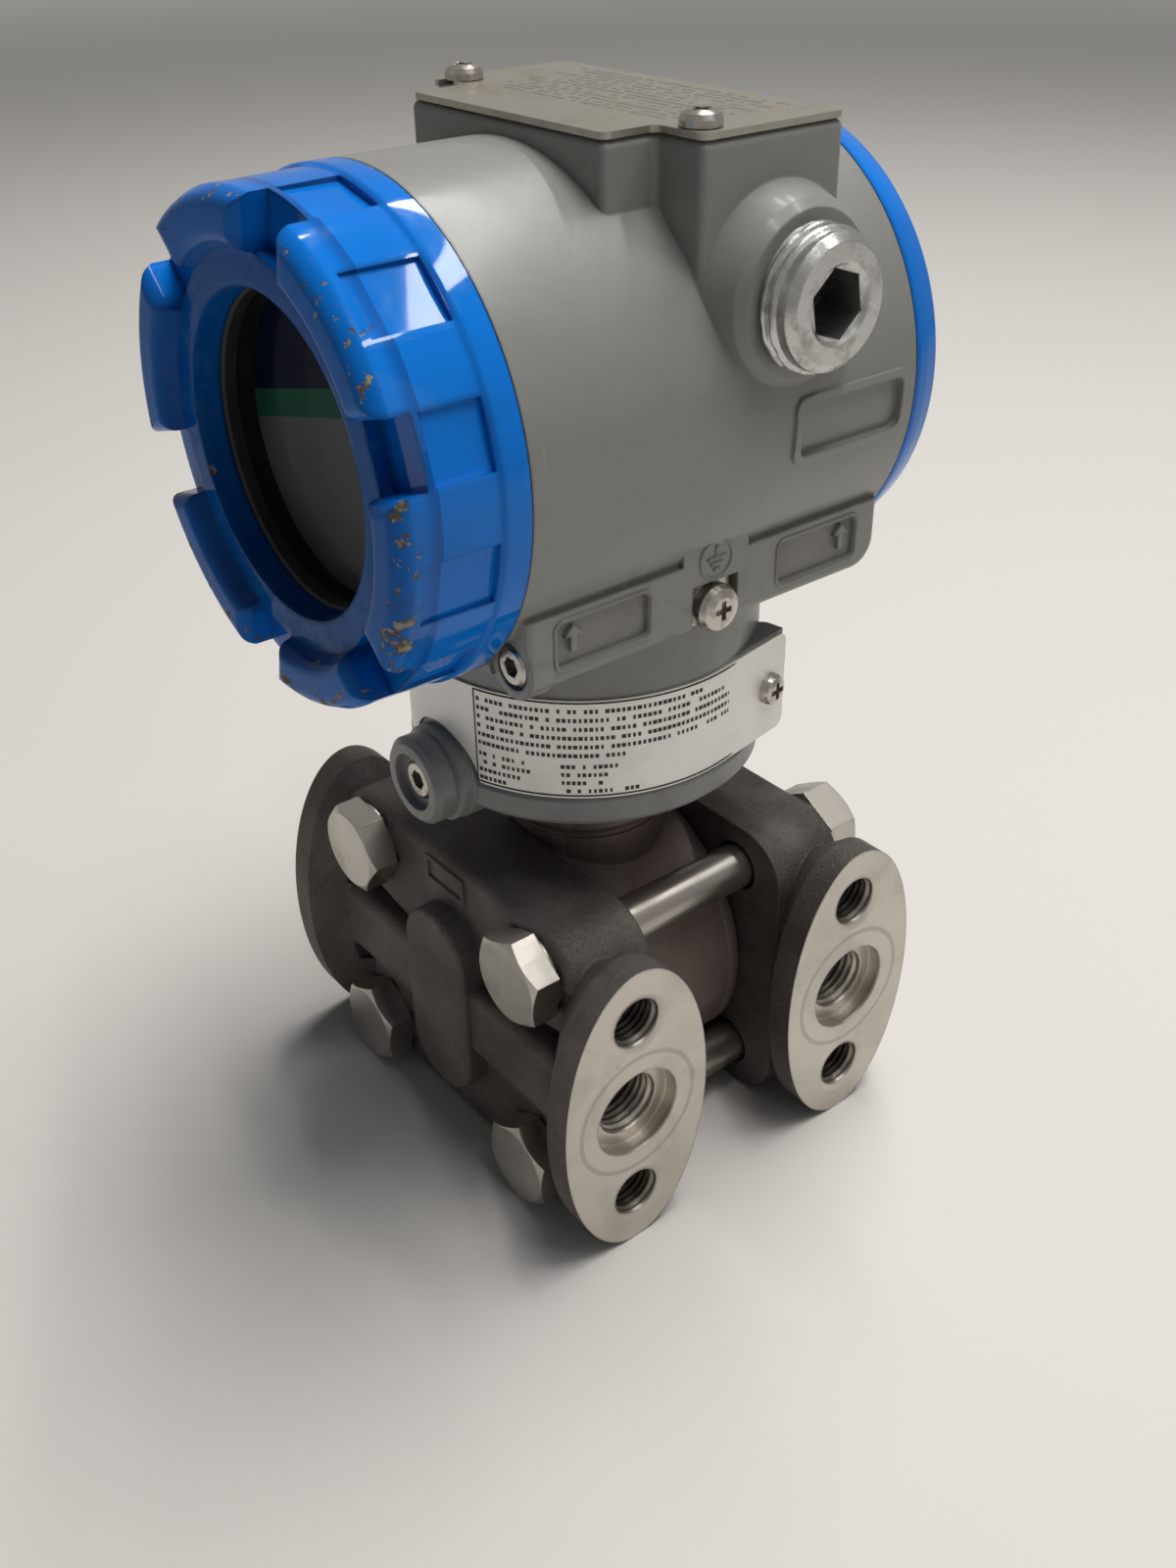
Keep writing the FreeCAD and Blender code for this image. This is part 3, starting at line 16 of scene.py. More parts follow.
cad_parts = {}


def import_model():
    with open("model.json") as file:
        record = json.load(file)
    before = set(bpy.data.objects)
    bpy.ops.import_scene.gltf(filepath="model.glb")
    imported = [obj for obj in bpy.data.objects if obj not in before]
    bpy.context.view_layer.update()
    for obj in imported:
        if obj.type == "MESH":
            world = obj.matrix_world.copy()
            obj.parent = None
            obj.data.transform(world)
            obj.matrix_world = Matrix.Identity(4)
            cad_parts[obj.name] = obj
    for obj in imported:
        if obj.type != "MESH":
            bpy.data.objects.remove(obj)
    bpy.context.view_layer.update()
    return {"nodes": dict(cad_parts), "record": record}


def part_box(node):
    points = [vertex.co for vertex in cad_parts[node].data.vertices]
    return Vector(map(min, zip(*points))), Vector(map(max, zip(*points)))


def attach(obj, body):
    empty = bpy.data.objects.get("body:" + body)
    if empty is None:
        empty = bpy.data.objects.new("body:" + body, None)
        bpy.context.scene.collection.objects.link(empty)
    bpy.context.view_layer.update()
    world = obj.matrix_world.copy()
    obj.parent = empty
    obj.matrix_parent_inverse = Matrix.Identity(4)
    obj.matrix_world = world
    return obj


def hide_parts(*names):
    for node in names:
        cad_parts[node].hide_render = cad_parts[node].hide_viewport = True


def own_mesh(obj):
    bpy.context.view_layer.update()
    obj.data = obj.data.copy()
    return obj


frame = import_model()

MM = 0.001
MERGE = 1e-6               # metres between points that are merged


# ---------------------------------------------------------------- places and sizes
def middle(node):
    """Centre of a CAD node's box."""
    low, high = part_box(node)
    return (low + high) / 2


# from the frame, in metres
AXIS_X = middle("sensor_capsule").x
BARREL_Z = middle("window_glass").z
CONDUIT = middle("conduit_plug_right")
FLOOR_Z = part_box("high_side_flange")[0].z
NEAR_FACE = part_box("high_side_flange")[1].x
FAR_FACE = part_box("high_side_flange")[0].x

# from the frame, in millimetres, as all the sizes after them
AXIS_MM = AXIS_X / MM
BARREL_MM = BARREL_Z / MM
PLUG_REACH = (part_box("conduit_plug_right")[1].x - AXIS_X) / MM
WINDOW_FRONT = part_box("window_gasket")[0].y / MM
WINDOW_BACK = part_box("window_glass")[1].y / MM
PANE_RADIUS = (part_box("window_glass")[1].x - AXIS_X) / MM
DISPLAY_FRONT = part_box("display_glass")[0].y / MM

# covers: distances out of the seam with the housing, and radii about the barrel's axis
SEAM_Y = 39.0              # the seam's own distance from the barrel's middle
COVER_FRONT = 20.5
LUG_FOOT, LUG_CREST = 33.5, 36.5
CAVITY = 30.5              # radius of the room inside each cover, painted black as shade
WINDOW_SEAT = 13.95        # the front cover's room ends here
REAR_WALL = 5.5            # and the rear cover's here

# window and display
GASKET_DEPTH = 2.6         # how far in front of the pane the gasket stands
GASKET_INNER = 24.2
GASKET_SEAT = 0.3          # how much wider the gasket is round the pane than at its lip
GASKET_CHAMFER = 0.5
PANE_THICK = 2.8
PANE_GAP = 0.02
FACEPLATE_RADIUS = 24.0
FACEPLATE_GAP = 0.1        # from the pane
DISPLAY_GAP = 0.05         # from the display's glass
DISPLAY_TILT = math.radians(14)
STRIP_HIGH, STRIP_LOW = 8.5, 4.0       # edges of the green strip above the barrel's axis
SCREEN_Y = -38.0                       # painted shade: the display is black behind this

# flanges, bolts and capsule, from the module's axis
PORT_Y, TAP_Z = 27.0, 20.65
PORT_MOUTH, TAP_MOUTH = 9.4, 6.4       # radii that take in each bore and its chamfer
BORE_DEPTH = 19.0
FACE_SKIN = 0.06                       # how far behind it an oval face is still machined
TURNED_RING, RING_HALF = 12.9, 0.35    # the ring scribed round each port
BOLT_X, BOLT_Z = 26.4, 22.5
BOLT_END, SHANK_END = 39.3, 19.0       # the turned ends lie beyond one, and the shank within the other is darkened as painted shade between the flanges
WELD_Y, WELD_HALF, WELD_RADIUS = 13.2, 0.5, 28.0

# housing, its signs and plates
CHAMBER, CHAMBER_EDGE = 34.3, 34.8     # radii: the inside colour ends over this band
SOCKET_RADIUS, SOCKET_DEPTH = 6.4, 7.0  # of the conduit plugs
SIDE_FACE = 35.0                       # the ledge's flat side
SIGN_FLOOR, SIGN_WALL = 33.9, 34.45    # the sunk signs' bottom lies between these, darkened as painted shade
SIGN_Y, SIGN_Z = 23.2, 89.8
SIGN_WIDE, SIGN_HIGH = 18.0, 7.4
SIGN_MARGIN, SIGN_CORNER = 0.5, 1.6
RIM_LINE, EARTH_LINE, BORDER_LINE = 0.32, 0.34, 0.15
EARTH_Z = 95.0
EARTH_RING, EARTH_STEM = 3.4, 2.2
EARTH_BARS = ((1.9, 0.2), (1.25, -0.8), (0.6, -1.8))       # half width and height of each
NECK_RADIUS = 32.63
PLATES_APART = 150.0                   # the neck plate lies below this height, the top plate above

# the neck plate's border, and the lines of text and table in it as shares of its width
PRINT_TOP, PRINT_FOOT = 71.6, 53.4
PRINT_LEFT, PRINT_RIGHT = -73.0, 21.0                      # degrees round the neck
PRINT_MARGIN = 0.8
LETTER = 0.92
TEXT_TOP, TEXT_PITCH = 70.0, 1.72
TEXT_ENDS = (0.80, 0.90, 0.97, 0.97, 0.95, 0.52)
TABLE_TOP, TABLE_PITCH, TABLE_COLUMN = 59.2, 1.62, 0.30
TABLE_ENDS = ((0.20, 0.50), (0.22, 0.46), (0.18, 0.44), (0.14, 0.56))
ETCHING_TOP, ETCHING_PITCH, ETCHING_ROWS, ETCHING_RISE = 21.0, 1.9, 12, 0.015
ETCHING_START, ETCHING_INDENT = -24.0, 3.0                 # of rows in a cycle of three
ETCHING_END, ETCHING_OUTDENT = 26.0, 4.0                   # of rows in a cycle of two

# screw threads: where each starts behind its face, and the sizes of its helix
TAP_START, PORT_START, PLUG_START = 0.6, 3.0, 8.0
NEAR_TAP = dict(Radius=4.95, Depth=-0.62, Pitch=1.27, Length=13.6, Around=40, Along=84)
FAR_TAP = dict(Radius=4.24, Depth=-0.55, Pitch=1.5, Length=13.6, Around=32, Along=60)
PORT = dict(Radius=6.38, Depth=-0.72, Pitch=1.41, Length=14.0, Around=48, Along=84)
PLUG = dict(Radius=10.0, Depth=0.95, Pitch=1.81, Length=6.2, Damage=0.40, Around=120, Along=56)


# ---------------------------------------------------------------- node trees as Python expressions
class Value:
    """A number that a node puts out. Sums on it add Math nodes."""

    def __init__(self, net, socket):
        self.net = net
        self.socket = socket

    def math(self, operation, *inputs):
        return self.net.add("ShaderNodeMath", {"operation": operation}, dict(enumerate(inputs)))[0]

    def __add__(self, other):
        return self.math("ADD", self, other)

    def __sub__(self, other):
        return self.math("SUBTRACT", self, other)

    def __rsub__(self, other):
        return self.math("SUBTRACT", other, self)

    def __mul__(self, other):
        return self.math("MULTIPLY", self, other)

    def __truediv__(self, other):
        return self.math("DIVIDE", self, other)

    def __pow__(self, other):
        return self.math("POWER", self, other)

    __radd__ = __add__
    __rmul__ = __mul__

    def size(self):
        return self.math("ABSOLUTE", self)

    def least(self, other):
        return self.math("MINIMUM", self, other)

    def most(self, other):
        return self.math("MAXIMUM", self, other)

    def above(self, other):
        return self.math("GREATER_THAN", self, other)

    def below(self, other):
        return self.math("LESS_THAN", self, other)

    def sine(self):
        return self.math("SINE", self)

    def cosine(self):
        return self.math("COSINE", self)

    def fraction(self):
        return self.math("FRACT", self)

    def ramp(self, start, end):
        """0 at the start, 1 at the end, eased between them."""
        node = self.net.add("ShaderNodeMapRange", {"interpolation_type": "SMOOTHSTEP"},
                            {"Value": self, "From Min": start, "From Max": end})
        return node["Result"]


class Placed:
    """A node whose outputs are read by name or place."""

    def __init__(self, net, node):
        self.net = net
        self.node = node

    def __getitem__(self, key):
        return Value(self.net, self.node.outputs[key])


class Net:
    """A node tree under construction."""

    def __init__(self, tree):
        self.tree = tree

    def add(self, kind, settings=None, sockets=None):
        """A node of that type: settings first, then the values or links of its sockets."""
        node = self.tree.nodes.new(kind)
        for name, setting in (settings or {}).items():
            setattr(node, name, setting)
        for key, given in (sockets or {}).items():
            if isinstance(given, Value):
                self.tree.links.new(given.socket, node.inputs[key])
            else:
                node.inputs[key].default_value = given
        return Placed(self, node)


# ---------------------------------------------------------------- finishes
class Finish(Net):
    """A procedural material. Lengths inside it are millimetres in the row frame."""

    def __init__(self, name, **fixed):
        self.material = bpy.data.materials.new(name)
        self.material.use_nodes = True
        super().__init__(self.material.node_tree)
        self.shader = self.tree.nodes["Principled BSDF"]
        for key, value in fixed.items():
            self.shader.inputs[key.replace("_", " ")].default_value = value
        self.spot = self.add("ShaderNodeTexCoord")["Object"]
        parts = self.add("ShaderNodeSeparateXYZ", sockets={0: self.spot})
        self.x, self.y, self.z = (parts[i] * 1000 for i in range(3))
        self.relief = None

    def set(self, socket, value):
        """Give the shader's socket a number, a colour or a link."""
        if isinstance(value, Value):
            self.tree.links.new(value.socket, self.shader.inputs[socket])
        else:
            self.shader.inputs[socket].default_value = value

    def noise(self, scale, detail=3.0, rough=0.5, stretch=None, warp=0.0):
        """Noise about 0.5 with so many swells to the metre, drawn out by the stretch along each axis."""
        spot = self.spot
        if stretch:
            spot = self.add("ShaderNodeMapping", sockets={"Vector": spot, "Scale": stretch})["Vector"]
        return self.add("ShaderNodeTexNoise", sockets={
            "Vector": spot, "Scale": scale, "Detail": detail, "Roughness": rough, "Distortion": warp})["Fac"]

    def cells(self, scale):
        return self.add("ShaderNodeTexVoronoi", sockets={"Vector": self.spot, "Scale": scale})["Distance"]

    def mix(self, share, low, high):
        """One colour passing into another."""
        node = self.add("ShaderNodeMix", {"data_type": "RGBA"}, {0: share, 6: low, 7: high})
        return node[2]

    def bump(self, height, depth):
        """Add relief: height 0 to 1 stands for so many millimetres."""
        sockets = {"Height": height, "Distance": depth * MM, "Strength": 1.0}
        if self.relief is not None:
            sockets["Normal"] = self.relief
        self.relief = self.add("ShaderNodeBump", sockets=sockets)["Normal"]
        self.set("Normal", self.relief)

    def rounded(self, radius):
        """Soften the light on sharp edges."""
        self.relief = self.add("ShaderNodeBevel", {"samples": 4}, {"Radius": radius * MM})["Normal"]
        self.set("Normal", self.relief)

    def across(self, a, a_at, b, b_at):
        """Distance from an axis that stands at the given place in two coordinates."""
        return ((a - a_at) ** 2 + (b - b_at) ** 2) ** 0.5


def rgb(red, green, blue):
    return red, green, blue, 1.0


BLUE = rgb(0.001, 0.185, 0.70)
BLUE_WORN = rgb(0.002, 0.130, 0.50)
# painted shade for the cover's recesses and front faces
BLUE_SHADE = rgb(0.001, 0.060, 0.28)
BLUE_HAZE = rgb(0.035, 0.155, 0.38)
BLUE_GRIME = rgb(0.045, 0.055, 0.060)
BLUE_SCRATCH = rgb(0.10, 0.24, 0.48)
CHIP = rgb(0.34, 0.31, 0.27)
CHIP_DARK = rgb(0.13, 0.10, 0.075)
SPIGOT = rgb(0.42, 0.42, 0.41)
GREY = rgb(0.252, 0.252, 0.238)
# painted shade for the housing's lower parts
GREY_DEEP = rgb(0.225, 0.222, 0.208)
GREY_LOW_SHADE = rgb(0.15, 0.148, 0.143)
# dirt, and painted shade in the sunk signs
GREY_DIRT_AND_SHADE = rgb(0.13, 0.115, 0.098)
GREY_NICK = rgb(0.09, 0.08, 0.07)
GREY_STREAK = rgb(0.36, 0.36, 0.34)
GREY_INSIDE = rgb(0.20, 0.205, 0.195)
CAST = rgb(0.082, 0.071, 0.063)
CAST_LIGHT = rgb(0.150, 0.136, 0.122)
CAST_GRAIN = rgb(0.21, 0.19, 0.175)
CAST_DARK = rgb(0.040, 0.033, 0.028)
MACHINED = rgb(0.58, 0.54, 0.485)
MACHINED_DULL = rgb(0.42, 0.38, 0.335)
MACHINED_RING = rgb(0.26, 0.235, 0.21)
MACHINED_STAIN = rgb(0.20, 0.17, 0.14)
# painted shade deep in the bores
BORE_SHADE = rgb(0.05, 0.042, 0.036)
STEEL = rgb(0.52, 0.49, 0.45)
# darker steel: tarnish, and painted shade on the bolts' shanks
STEEL_DARK = rgb(0.31, 0.285, 0.255)
STEEL_END = rgb(0.26, 0.235, 0.205)
CAPSULE = rgb(0.165, 0.120, 0.108)
CAPSULE_LIGHT = rgb(0.22, 0.175, 0.160)
CAPSULE_DARK = rgb(0.09, 0.068, 0.062)
CAPSULE_WELD = rgb(0.28, 0.235, 0.21)
ZINC = rgb(0.56, 0.56, 0.55)
ZINC_DULL = rgb(0.36, 0.355, 0.335)
# painted shade deep in the plugs' sockets
SOCKET_SHADE = rgb(0.07, 0.068, 0.066)
PLATE = rgb(0.88, 0.86, 0.81)
PLATE_TOP = rgb(0.46, 0.44, 0.385)
PLATE_STAIN = rgb(0.27, 0.22, 0.15)
PLATE_SPECK = rgb(0.16, 0.13, 0.10)
PANE = rgb(0.02, 0.024, 0.023)
# painted reflection of the dark room and the cover's blue wall
SCREEN_TOP = rgb(0.002, 0.006, 0.024)
SCREEN_STRIP = rgb(0.014, 0.105, 0.062)
# partly the display's own grey-green, partly a painted reflection of the floor, made lighter for light that
# does not reach it
SCREEN_FIELD = rgb(0.120, 0.128, 0.118)
SCREEN_LIGHT = rgb(0.145, 0.155, 0.142)
RUBBER = rgb(0.010, 0.010, 0.011)
RUBBER_LIGHT = rgb(0.022, 0.022, 0.023)
GASKET = rgb(0.66, 0.65, 0.61)
GASKET_LIGHT = rgb(0.74, 0.73, 0.69)
BOARD_GREEN = rgb(0.012, 0.10, 0.055)
BOARD_LIGHT = rgb(0.02, 0.16, 0.09)
MOULDING = rgb(0.018, 0.018, 0.019)
MOULDING_LIGHT = rgb(0.032, 0.032, 0.032)
BUTTON = rgb(0.07, 0.07, 0.07)
BUTTON_LIGHT = rgb(0.11, 0.11, 0.11)
INK = rgb(0.018, 0.018, 0.019)
INK_WORN = rgb(0.30, 0.29, 0.27)
ETCHED = rgb(0.15, 0.13, 0.11)
# painted shade: black inside the covers and behind the display
BLACK_SHADE = rgb(0.012, 0.012, 0.013)


def cover_paint():
    """Thick gloss enamel, chipped and rubbed on the gripping lugs, with painted shade in its recesses and on
    its front faces, bare inside and painted black there as shade.
    """
    f = Finish("cover_enamel", Coat_Roughness=0.03, Specular_IOR_Level=0.03)
    f.rounded(1.5)
    out = f.y.size() - SEAM_Y
    radius = f.across(f.x, AXIS_MM, f.z, BARREL_MM)
    low = 1.0 - f.z.ramp(BARREL_MM - 20, BARREL_MM + 15)
    shoulder = out.ramp(17.0, COVER_FRONT) * radius.ramp(LUG_FOOT, LUG_CREST)
    flank = radius.ramp(LUG_CREST, 37.5) * out.ramp(15.0, 19.0)
    rim = out.ramp(1.1, 0.3) * radius.ramp(38.0, 39.0)
    ring = out.ramp(14.5, 16.5) * radius.ramp(32.0, 30.5)
    worn = (shoulder * (0.75 + low * 0.5) + flank * (0.25 + low * 0.5) + rim * 0.4 + ring * 0.35).least(1.25)
    patch = f.noise(120, 5, 0.6, warp=0.4)
    chips = (f.noise(430, 4, 0.6) + patch * 0.60 + worn * 0.17).ramp(1.065, 1.10)
    scratch = f.noise(330, 3, 0.6, stretch=(1.0, 0.09, 1.0)).ramp(0.70, 0.74) * 0.7
    dust = f.noise(340, 5, 0.75).ramp(0.47, 0.62) * (ring + shoulder * 0.10).least(1.0)
    body = f.mix(f.noise(38, 3).ramp(0.42, 0.70) * 0.5, BLUE, BLUE_WORN)
    # painted shade: darker round the window and in the notches, as if in the shade of the lugs
    recess_shade = radius.ramp(LUG_FOOT, 31.0).most(out.ramp(17.5, 15.0) * out.above(14.5))
    body = f.mix(recess_shade * 0.60, body, BLUE_SHADE)
    # painted shade: the front faces and the ring round the window darker, with less coat
    front = out.ramp(18.8, COVER_FRONT).most(ring)
    body = f.mix(front * 0.35, body, BLUE_SHADE)
    body = f.mix(dust * 0.42, body, BLUE_HAZE)
    soiled = (flank * low + shoulder * low * 0.7 + rim * 0.2).least(1.0)
    darkening = f.noise(95, 5, 0.68).ramp(0.50, 0.68) * soiled
    body = f.mix(darkening * 0.55, body, BLUE_GRIME)
    body = f.mix(scratch * worn, body, BLUE_SCRATCH)
    bare = f.mix(f.noise(800).ramp(0.4, 0.6), CHIP, CHIP_DARK)
    # painted shade: the room inside each cover is painted black
    wall = REAR_WALL + f.y.below(0.0) * (WINDOW_SEAT - REAR_WALL)
    room = out.below(wall) * radius.below(CAVITY)
    spigot = out.below(0.1) * (1.0 - room)
    body = f.mix(room, f.mix(chips, body, bare), BLACK_SHADE)
    f.set("Base Color", f.mix(spigot, body, SPIGOT))
    f.set("Metallic", spigot * 0.9)
    f.set("Roughness", 0.10 + f.noise(60).ramp(0.4, 0.7) * 0.05 + dust * 0.14 + darkening * 0.12
          + chips * 0.40 + room * 0.5 + spigot * 0.25)
    f.set("Coat Weight", (0.45 - chips * 0.45 - dust * 0.20 - front * 0.25 - room - spigot).most(0.0))
    f.bump(f.noise(150, 2), 0.10)
    f.bump(1.0 - chips, 0.12)
    f.bump((f.y * 0.5).fraction().ramp(0.2, 0.8) * spigot, 0.5)
    return f


def housing_paint():
    """Semi-gloss grey over a sand casting, with blotches of dirt, painted shade in its sunk signs and painted
    shade that darkens it towards the bottom.
    """
    f = Finish("housing_enamel", Coat_Roughness=0.14)
    f.rounded(0.7)
    radius = f.across(f.x, AXIS_MM, f.z, BARREL_MM)
    inside = (1.0 - radius.ramp(CHAMBER, CHAMBER_EDGE)) * f.z.ramp(75.0, 77.0)
    low = 1.0 - f.z.ramp(58.0, 96.0)
    side = (f.x - AXIS_MM).ramp(30.0, 34.0) * f.z.ramp(80.0, 84.0) * (1.0 - f.z.ramp(97.0, 101.0))
    # painted shade: darker on the floors of the sunk signs
    hollow_shade = f.x.below(AXIS_MM + SIGN_WALL) * f.x.above(AXIS_MM + SIGN_FLOOR) * side
    blotch = f.noise(110, 6, 0.70, warp=0.5).ramp(0.50, 0.74)
    # blotches of dirt, denser low down and on the ledge, together with the painted shade of the sunk signs
    darkening = (blotch * (0.14 + low * 0.35 + side * 0.25) + hollow_shade * 0.35).least(1.0)
    streak = f.noise(600, 3, 0.6, stretch=(0.10, 1.0, 0.10)).ramp(0.70, 0.73) * 0.30
    nick = f.noise(260, 4, 0.6).ramp(0.735, 0.76) * 0.7
    body = f.mix(f.noise(30, 3).ramp(0.35, 0.65) * 0.6, GREY, GREY_DEEP)
    # painted shade: darker towards the bottom
    body = f.mix(low * 0.25, body, GREY_LOW_SHADE)
    body = f.mix(darkening, body, GREY_DIRT_AND_SHADE)
    body = f.mix(nick, body, GREY_NICK)
    f.set("Base Color", f.mix(inside, f.mix(streak, body, GREY_STREAK), GREY_INSIDE))
    f.set("Roughness", 0.33 + f.noise(75, 4).ramp(0.3, 0.7) * 0.12 + darkening * 0.25)
    f.set("Coat Weight", 0.20)
    f.bump(f.noise(380, 3, 0.55), 0.06)
    f.bump(f.noise(1600, 2), 0.015)
    return f


def cast_steel():
    """Shot-blasted stainless casting whose bolting faces and bores are machined bright, with painted shade
    deep in the bores.
    """
    f = Finish("blasted_steel")
    f.rounded(0.8)
    far_side = f.x.below((NEAR_FACE + FAR_FACE) / 2 / MM)
    face = f.x.above(NEAR_FACE / MM - FACE_SKIN).most(f.x.below(FAR_FACE / MM + FACE_SKIN))
    off_port = f.across(f.y.size(), PORT_Y, f.z, 0.0)
    off_tap = f.across(f.y.size(), PORT_Y, f.z.size(), TAP_Z)
    depth = (NEAR_FACE / MM - f.x).least(f.x - FAR_FACE / MM)
    bores = off_port.below(PORT_MOUTH).most(off_tap.below(TAP_MOUTH)) * depth.below(BORE_DEPTH)
    machined = face.most(bores)
    grain = f.noise(1500, 4, 0.65)
    pits = 1.0 - f.cells(1300).ramp(0.10, 0.42)
    body = f.mix(f.noise(60, 4, 0.6).ramp(0.35, 0.7), CAST, CAST_LIGHT)
    body = f.mix(grain.ramp(0.48, 0.75) * 0.45, body, CAST_GRAIN)
    body = f.mix(f.noise(170, 5, 0.7).ramp(0.58, 0.74) * 0.45, body, CAST_DARK)
    ring = ((off_port - TURNED_RING).size() - RING_HALF).ramp(0.25, 0.0) * face
    turning = (off_port * 2.6 + f.noise(300) * 0.6).fraction()
    bright = f.mix(f.noise(70, 5, 0.6, warp=0.6).ramp(0.42, 0.72) * 0.6, MACHINED, MACHINED_DULL)
    bright = f.mix(ring * 0.45, bright, MACHINED_RING)
    stain = f.noise(240, 5, 0.7).ramp(0.64, 0.72) * 0.4
    bright = f.mix(stain, bright, MACHINED_STAIN)
    # painted shade: darker deeper in the ports and tapped holes
    hollow_shade = off_port.below(PORT_MOUTH) * depth.ramp(2.5, 10.0) * 0.85
    hollow_shade = hollow_shade.most(off_tap.below(TAP_MOUTH) * depth.ramp(0.1, 3.0) * 0.96)
    bright = f.mix(hollow_shade * bores, bright, BORE_SHADE)
    scratch = f.noise(500, 2, 0.5, stretch=(1.0, 0.12, 0.5)).ramp(0.66, 0.71)
    f.set("Base Color", f.mix(machined, body, bright))
    f.set("Metallic", 0.45 + machined * 0.45)
    f.set("Roughness", (0.52 + grain * 0.12) * (1.0 - machined)
          + machined * (0.30 + stain * 0.2 + f.noise(60) * 0.1))
    f.bump((grain + pits * 0.6) * (1.0 - machined), 0.12)
    f.bump(f.noise(230, 3) * (1.0 - machined), 0.16)
    f.bump((turning * 0.5 + scratch * 0.8) * face * (0.6 + far_side * 0.4), 0.012)
    return f


def bolt_steel():
    """Bright stainless with turned ends and file marks on the flats, and painted shade on the shanks between
    the flanges.
    """
    f = Finish("bolt_stainless")
    f.rounded(0.3)
    off_axis = f.across((f.x - AXIS_MM).size(), BOLT_X, f.z.size(), BOLT_Z)
    end = f.y.size().above(BOLT_END)
    turning = (off_axis * 2.2).fraction() * end
    flats = f.noise(420, 3, 0.5, stretch=(1.0, 0.08, 1.0)) * (1.0 - end)
    tarnish = f.noise(80, 5, 0.62).ramp(0.46, 0.74)
    # painted shade: the shank between the flanges darker
    shank_shade = f.y.size().below(SHANK_END)
    body = f.mix(tarnish * 0.5 + shank_shade * 0.4, STEEL, STEEL_DARK)
    f.set("Base Color", f.mix(end * tarnish * 0.35, body, STEEL_END))
    f.set("Metallic", 0.95)
    f.set("Roughness", 0.27 + tarnish * 0.12 + f.noise(700) * 0.06)
    f.bump(turning * 0.4 + flats.ramp(0.4, 0.6) * 0.6, 0.014)
    f.bump(f.noise(110, 2), 0.03)
    return f


def capsule_steel():
    """Blasted capsule body, a shade pinker than the flanges."""
    f = Finish("capsule_stainless")
    f.rounded(0.6)
    grain = f.noise(1400, 4, 0.6)
    off_axis = f.across(f.x, AXIS_MM, f.z, 0.0)
    weld = ((f.y.size() - WELD_Y).size() - WELD_HALF).ramp(0.4, 0.0) * off_axis.above(WELD_RADIUS)
    body = f.mix(f.noise(70, 4).ramp(0.4, 0.7), CAPSULE, CAPSULE_LIGHT)
    body = f.mix(f.noise(220, 5, 0.7).ramp(0.58, 0.72) * 0.5, body, CAPSULE_DARK)
    f.set("Base Color", f.mix(weld * 0.35, body, CAPSULE_WELD))
    f.set("Metallic", 0.45)
    f.set("Roughness", 0.50 + grain * 0.12)
    f.bump(grain, 0.07)
    f.bump(weld, 0.10)
    return f


def plug_zinc():
    """Bright zinc plate, dulled and scuffed, with painted shade deep in its socket."""
    f = Finish("plug_plate")
    f.rounded(0.4)
    scuffed = f.noise(260, 5, 0.7).ramp(0.46, 0.66)
    off_axis = f.across(f.y, CONDUIT.y / MM, f.z, CONDUIT.z / MM)
    inward = PLUG_REACH - (f.x - AXIS_MM).size()
    # painted shade: darker deeper in the hex socket
    socket = off_axis.below(SOCKET_RADIUS) * inward.ramp(0.2, SOCKET_DEPTH)
    body = f.mix(scuffed * 0.8, ZINC, ZINC_DULL)
    f.set("Base Color", f.mix(socket * 0.8, body, SOCKET_SHADE))
    f.set("Metallic", 0.9)
    f.set("Roughness", 0.26 + scuffed * 0.22)
    f.bump(f.noise(380, 5, 0.65), 0.05)
    return f


def plate_steel():
    """Sheet stainless, brushed along its length, with stains left by handling."""
    f = Finish("plate_stainless")
    brushed = f.noise(700, 3, 0.6, stretch=(1.0, 1.0, 14.0))
    upper = f.z.above(PLATES_APART)
    cloud = f.noise(65, 5, 0.7, warp=0.8).ramp(0.48, 0.72)
    stained = (cloud * (0.12 + upper * 0.45)).least(1.0)
    speck = f.noise(900, 4, 0.6).ramp(0.64, 0.70) * upper * 0.35
    body = f.mix(upper, PLATE, PLATE_TOP)
    body = f.mix(stained, body, PLATE_STAIN)
    f.set("Base Color", f.mix(speck, body, PLATE_SPECK))
    f.set("Metallic", 0.30 + upper * 0.50)
    f.set("Roughness", 0.36 - upper * 0.06 + brushed * 0.10 + stained * 0.15)
    f.bump(brushed, 0.01)
    f.bump(f.noise(60, 2), 0.06)
    return f


def screw_steel():
    """Small stainless screws, springs and rings."""
    f = Finish("screw_stainless")
    f.rounded(0.15)
    tarnish = f.noise(500, 4, 0.6).ramp(0.48, 0.70)
    f.set("Base Color", f.mix(tarnish * 0.6, STEEL, STEEL_DARK))
    f.set("Metallic", 0.95)
    f.set("Roughness", 0.24 + tarnish * 0.2)
    f.bump(f.noise(900, 3), 0.02)
    return f


def dull_plastic(name, low, high, rough, scale):
    """A moulded piece with slight mottling."""
    f = Finish(name)
    f.rounded(0.3)
    f.set("Base Color", f.mix(f.noise(scale, 4).ramp(0.35, 0.7), low, high))
    f.set("Roughness", rough + f.noise(scale * 3) * 0.12)
    f.bump(f.noise(scale * 8, 2), 0.02)
    return f


def window_glass():
    """Clear toughened glass, faintly marked."""
    f = Finish("window_pane", Specular_IOR_Level=0.5)
    smear = f.noise(120, 5, 0.6, warp=0.5).ramp(0.60, 0.78)
    f.set("Base Color", PANE)
    f.set("Roughness", 0.03 + smear * 0.10)
    f.set("Alpha", 0.07 + smear * 0.05)
    return f


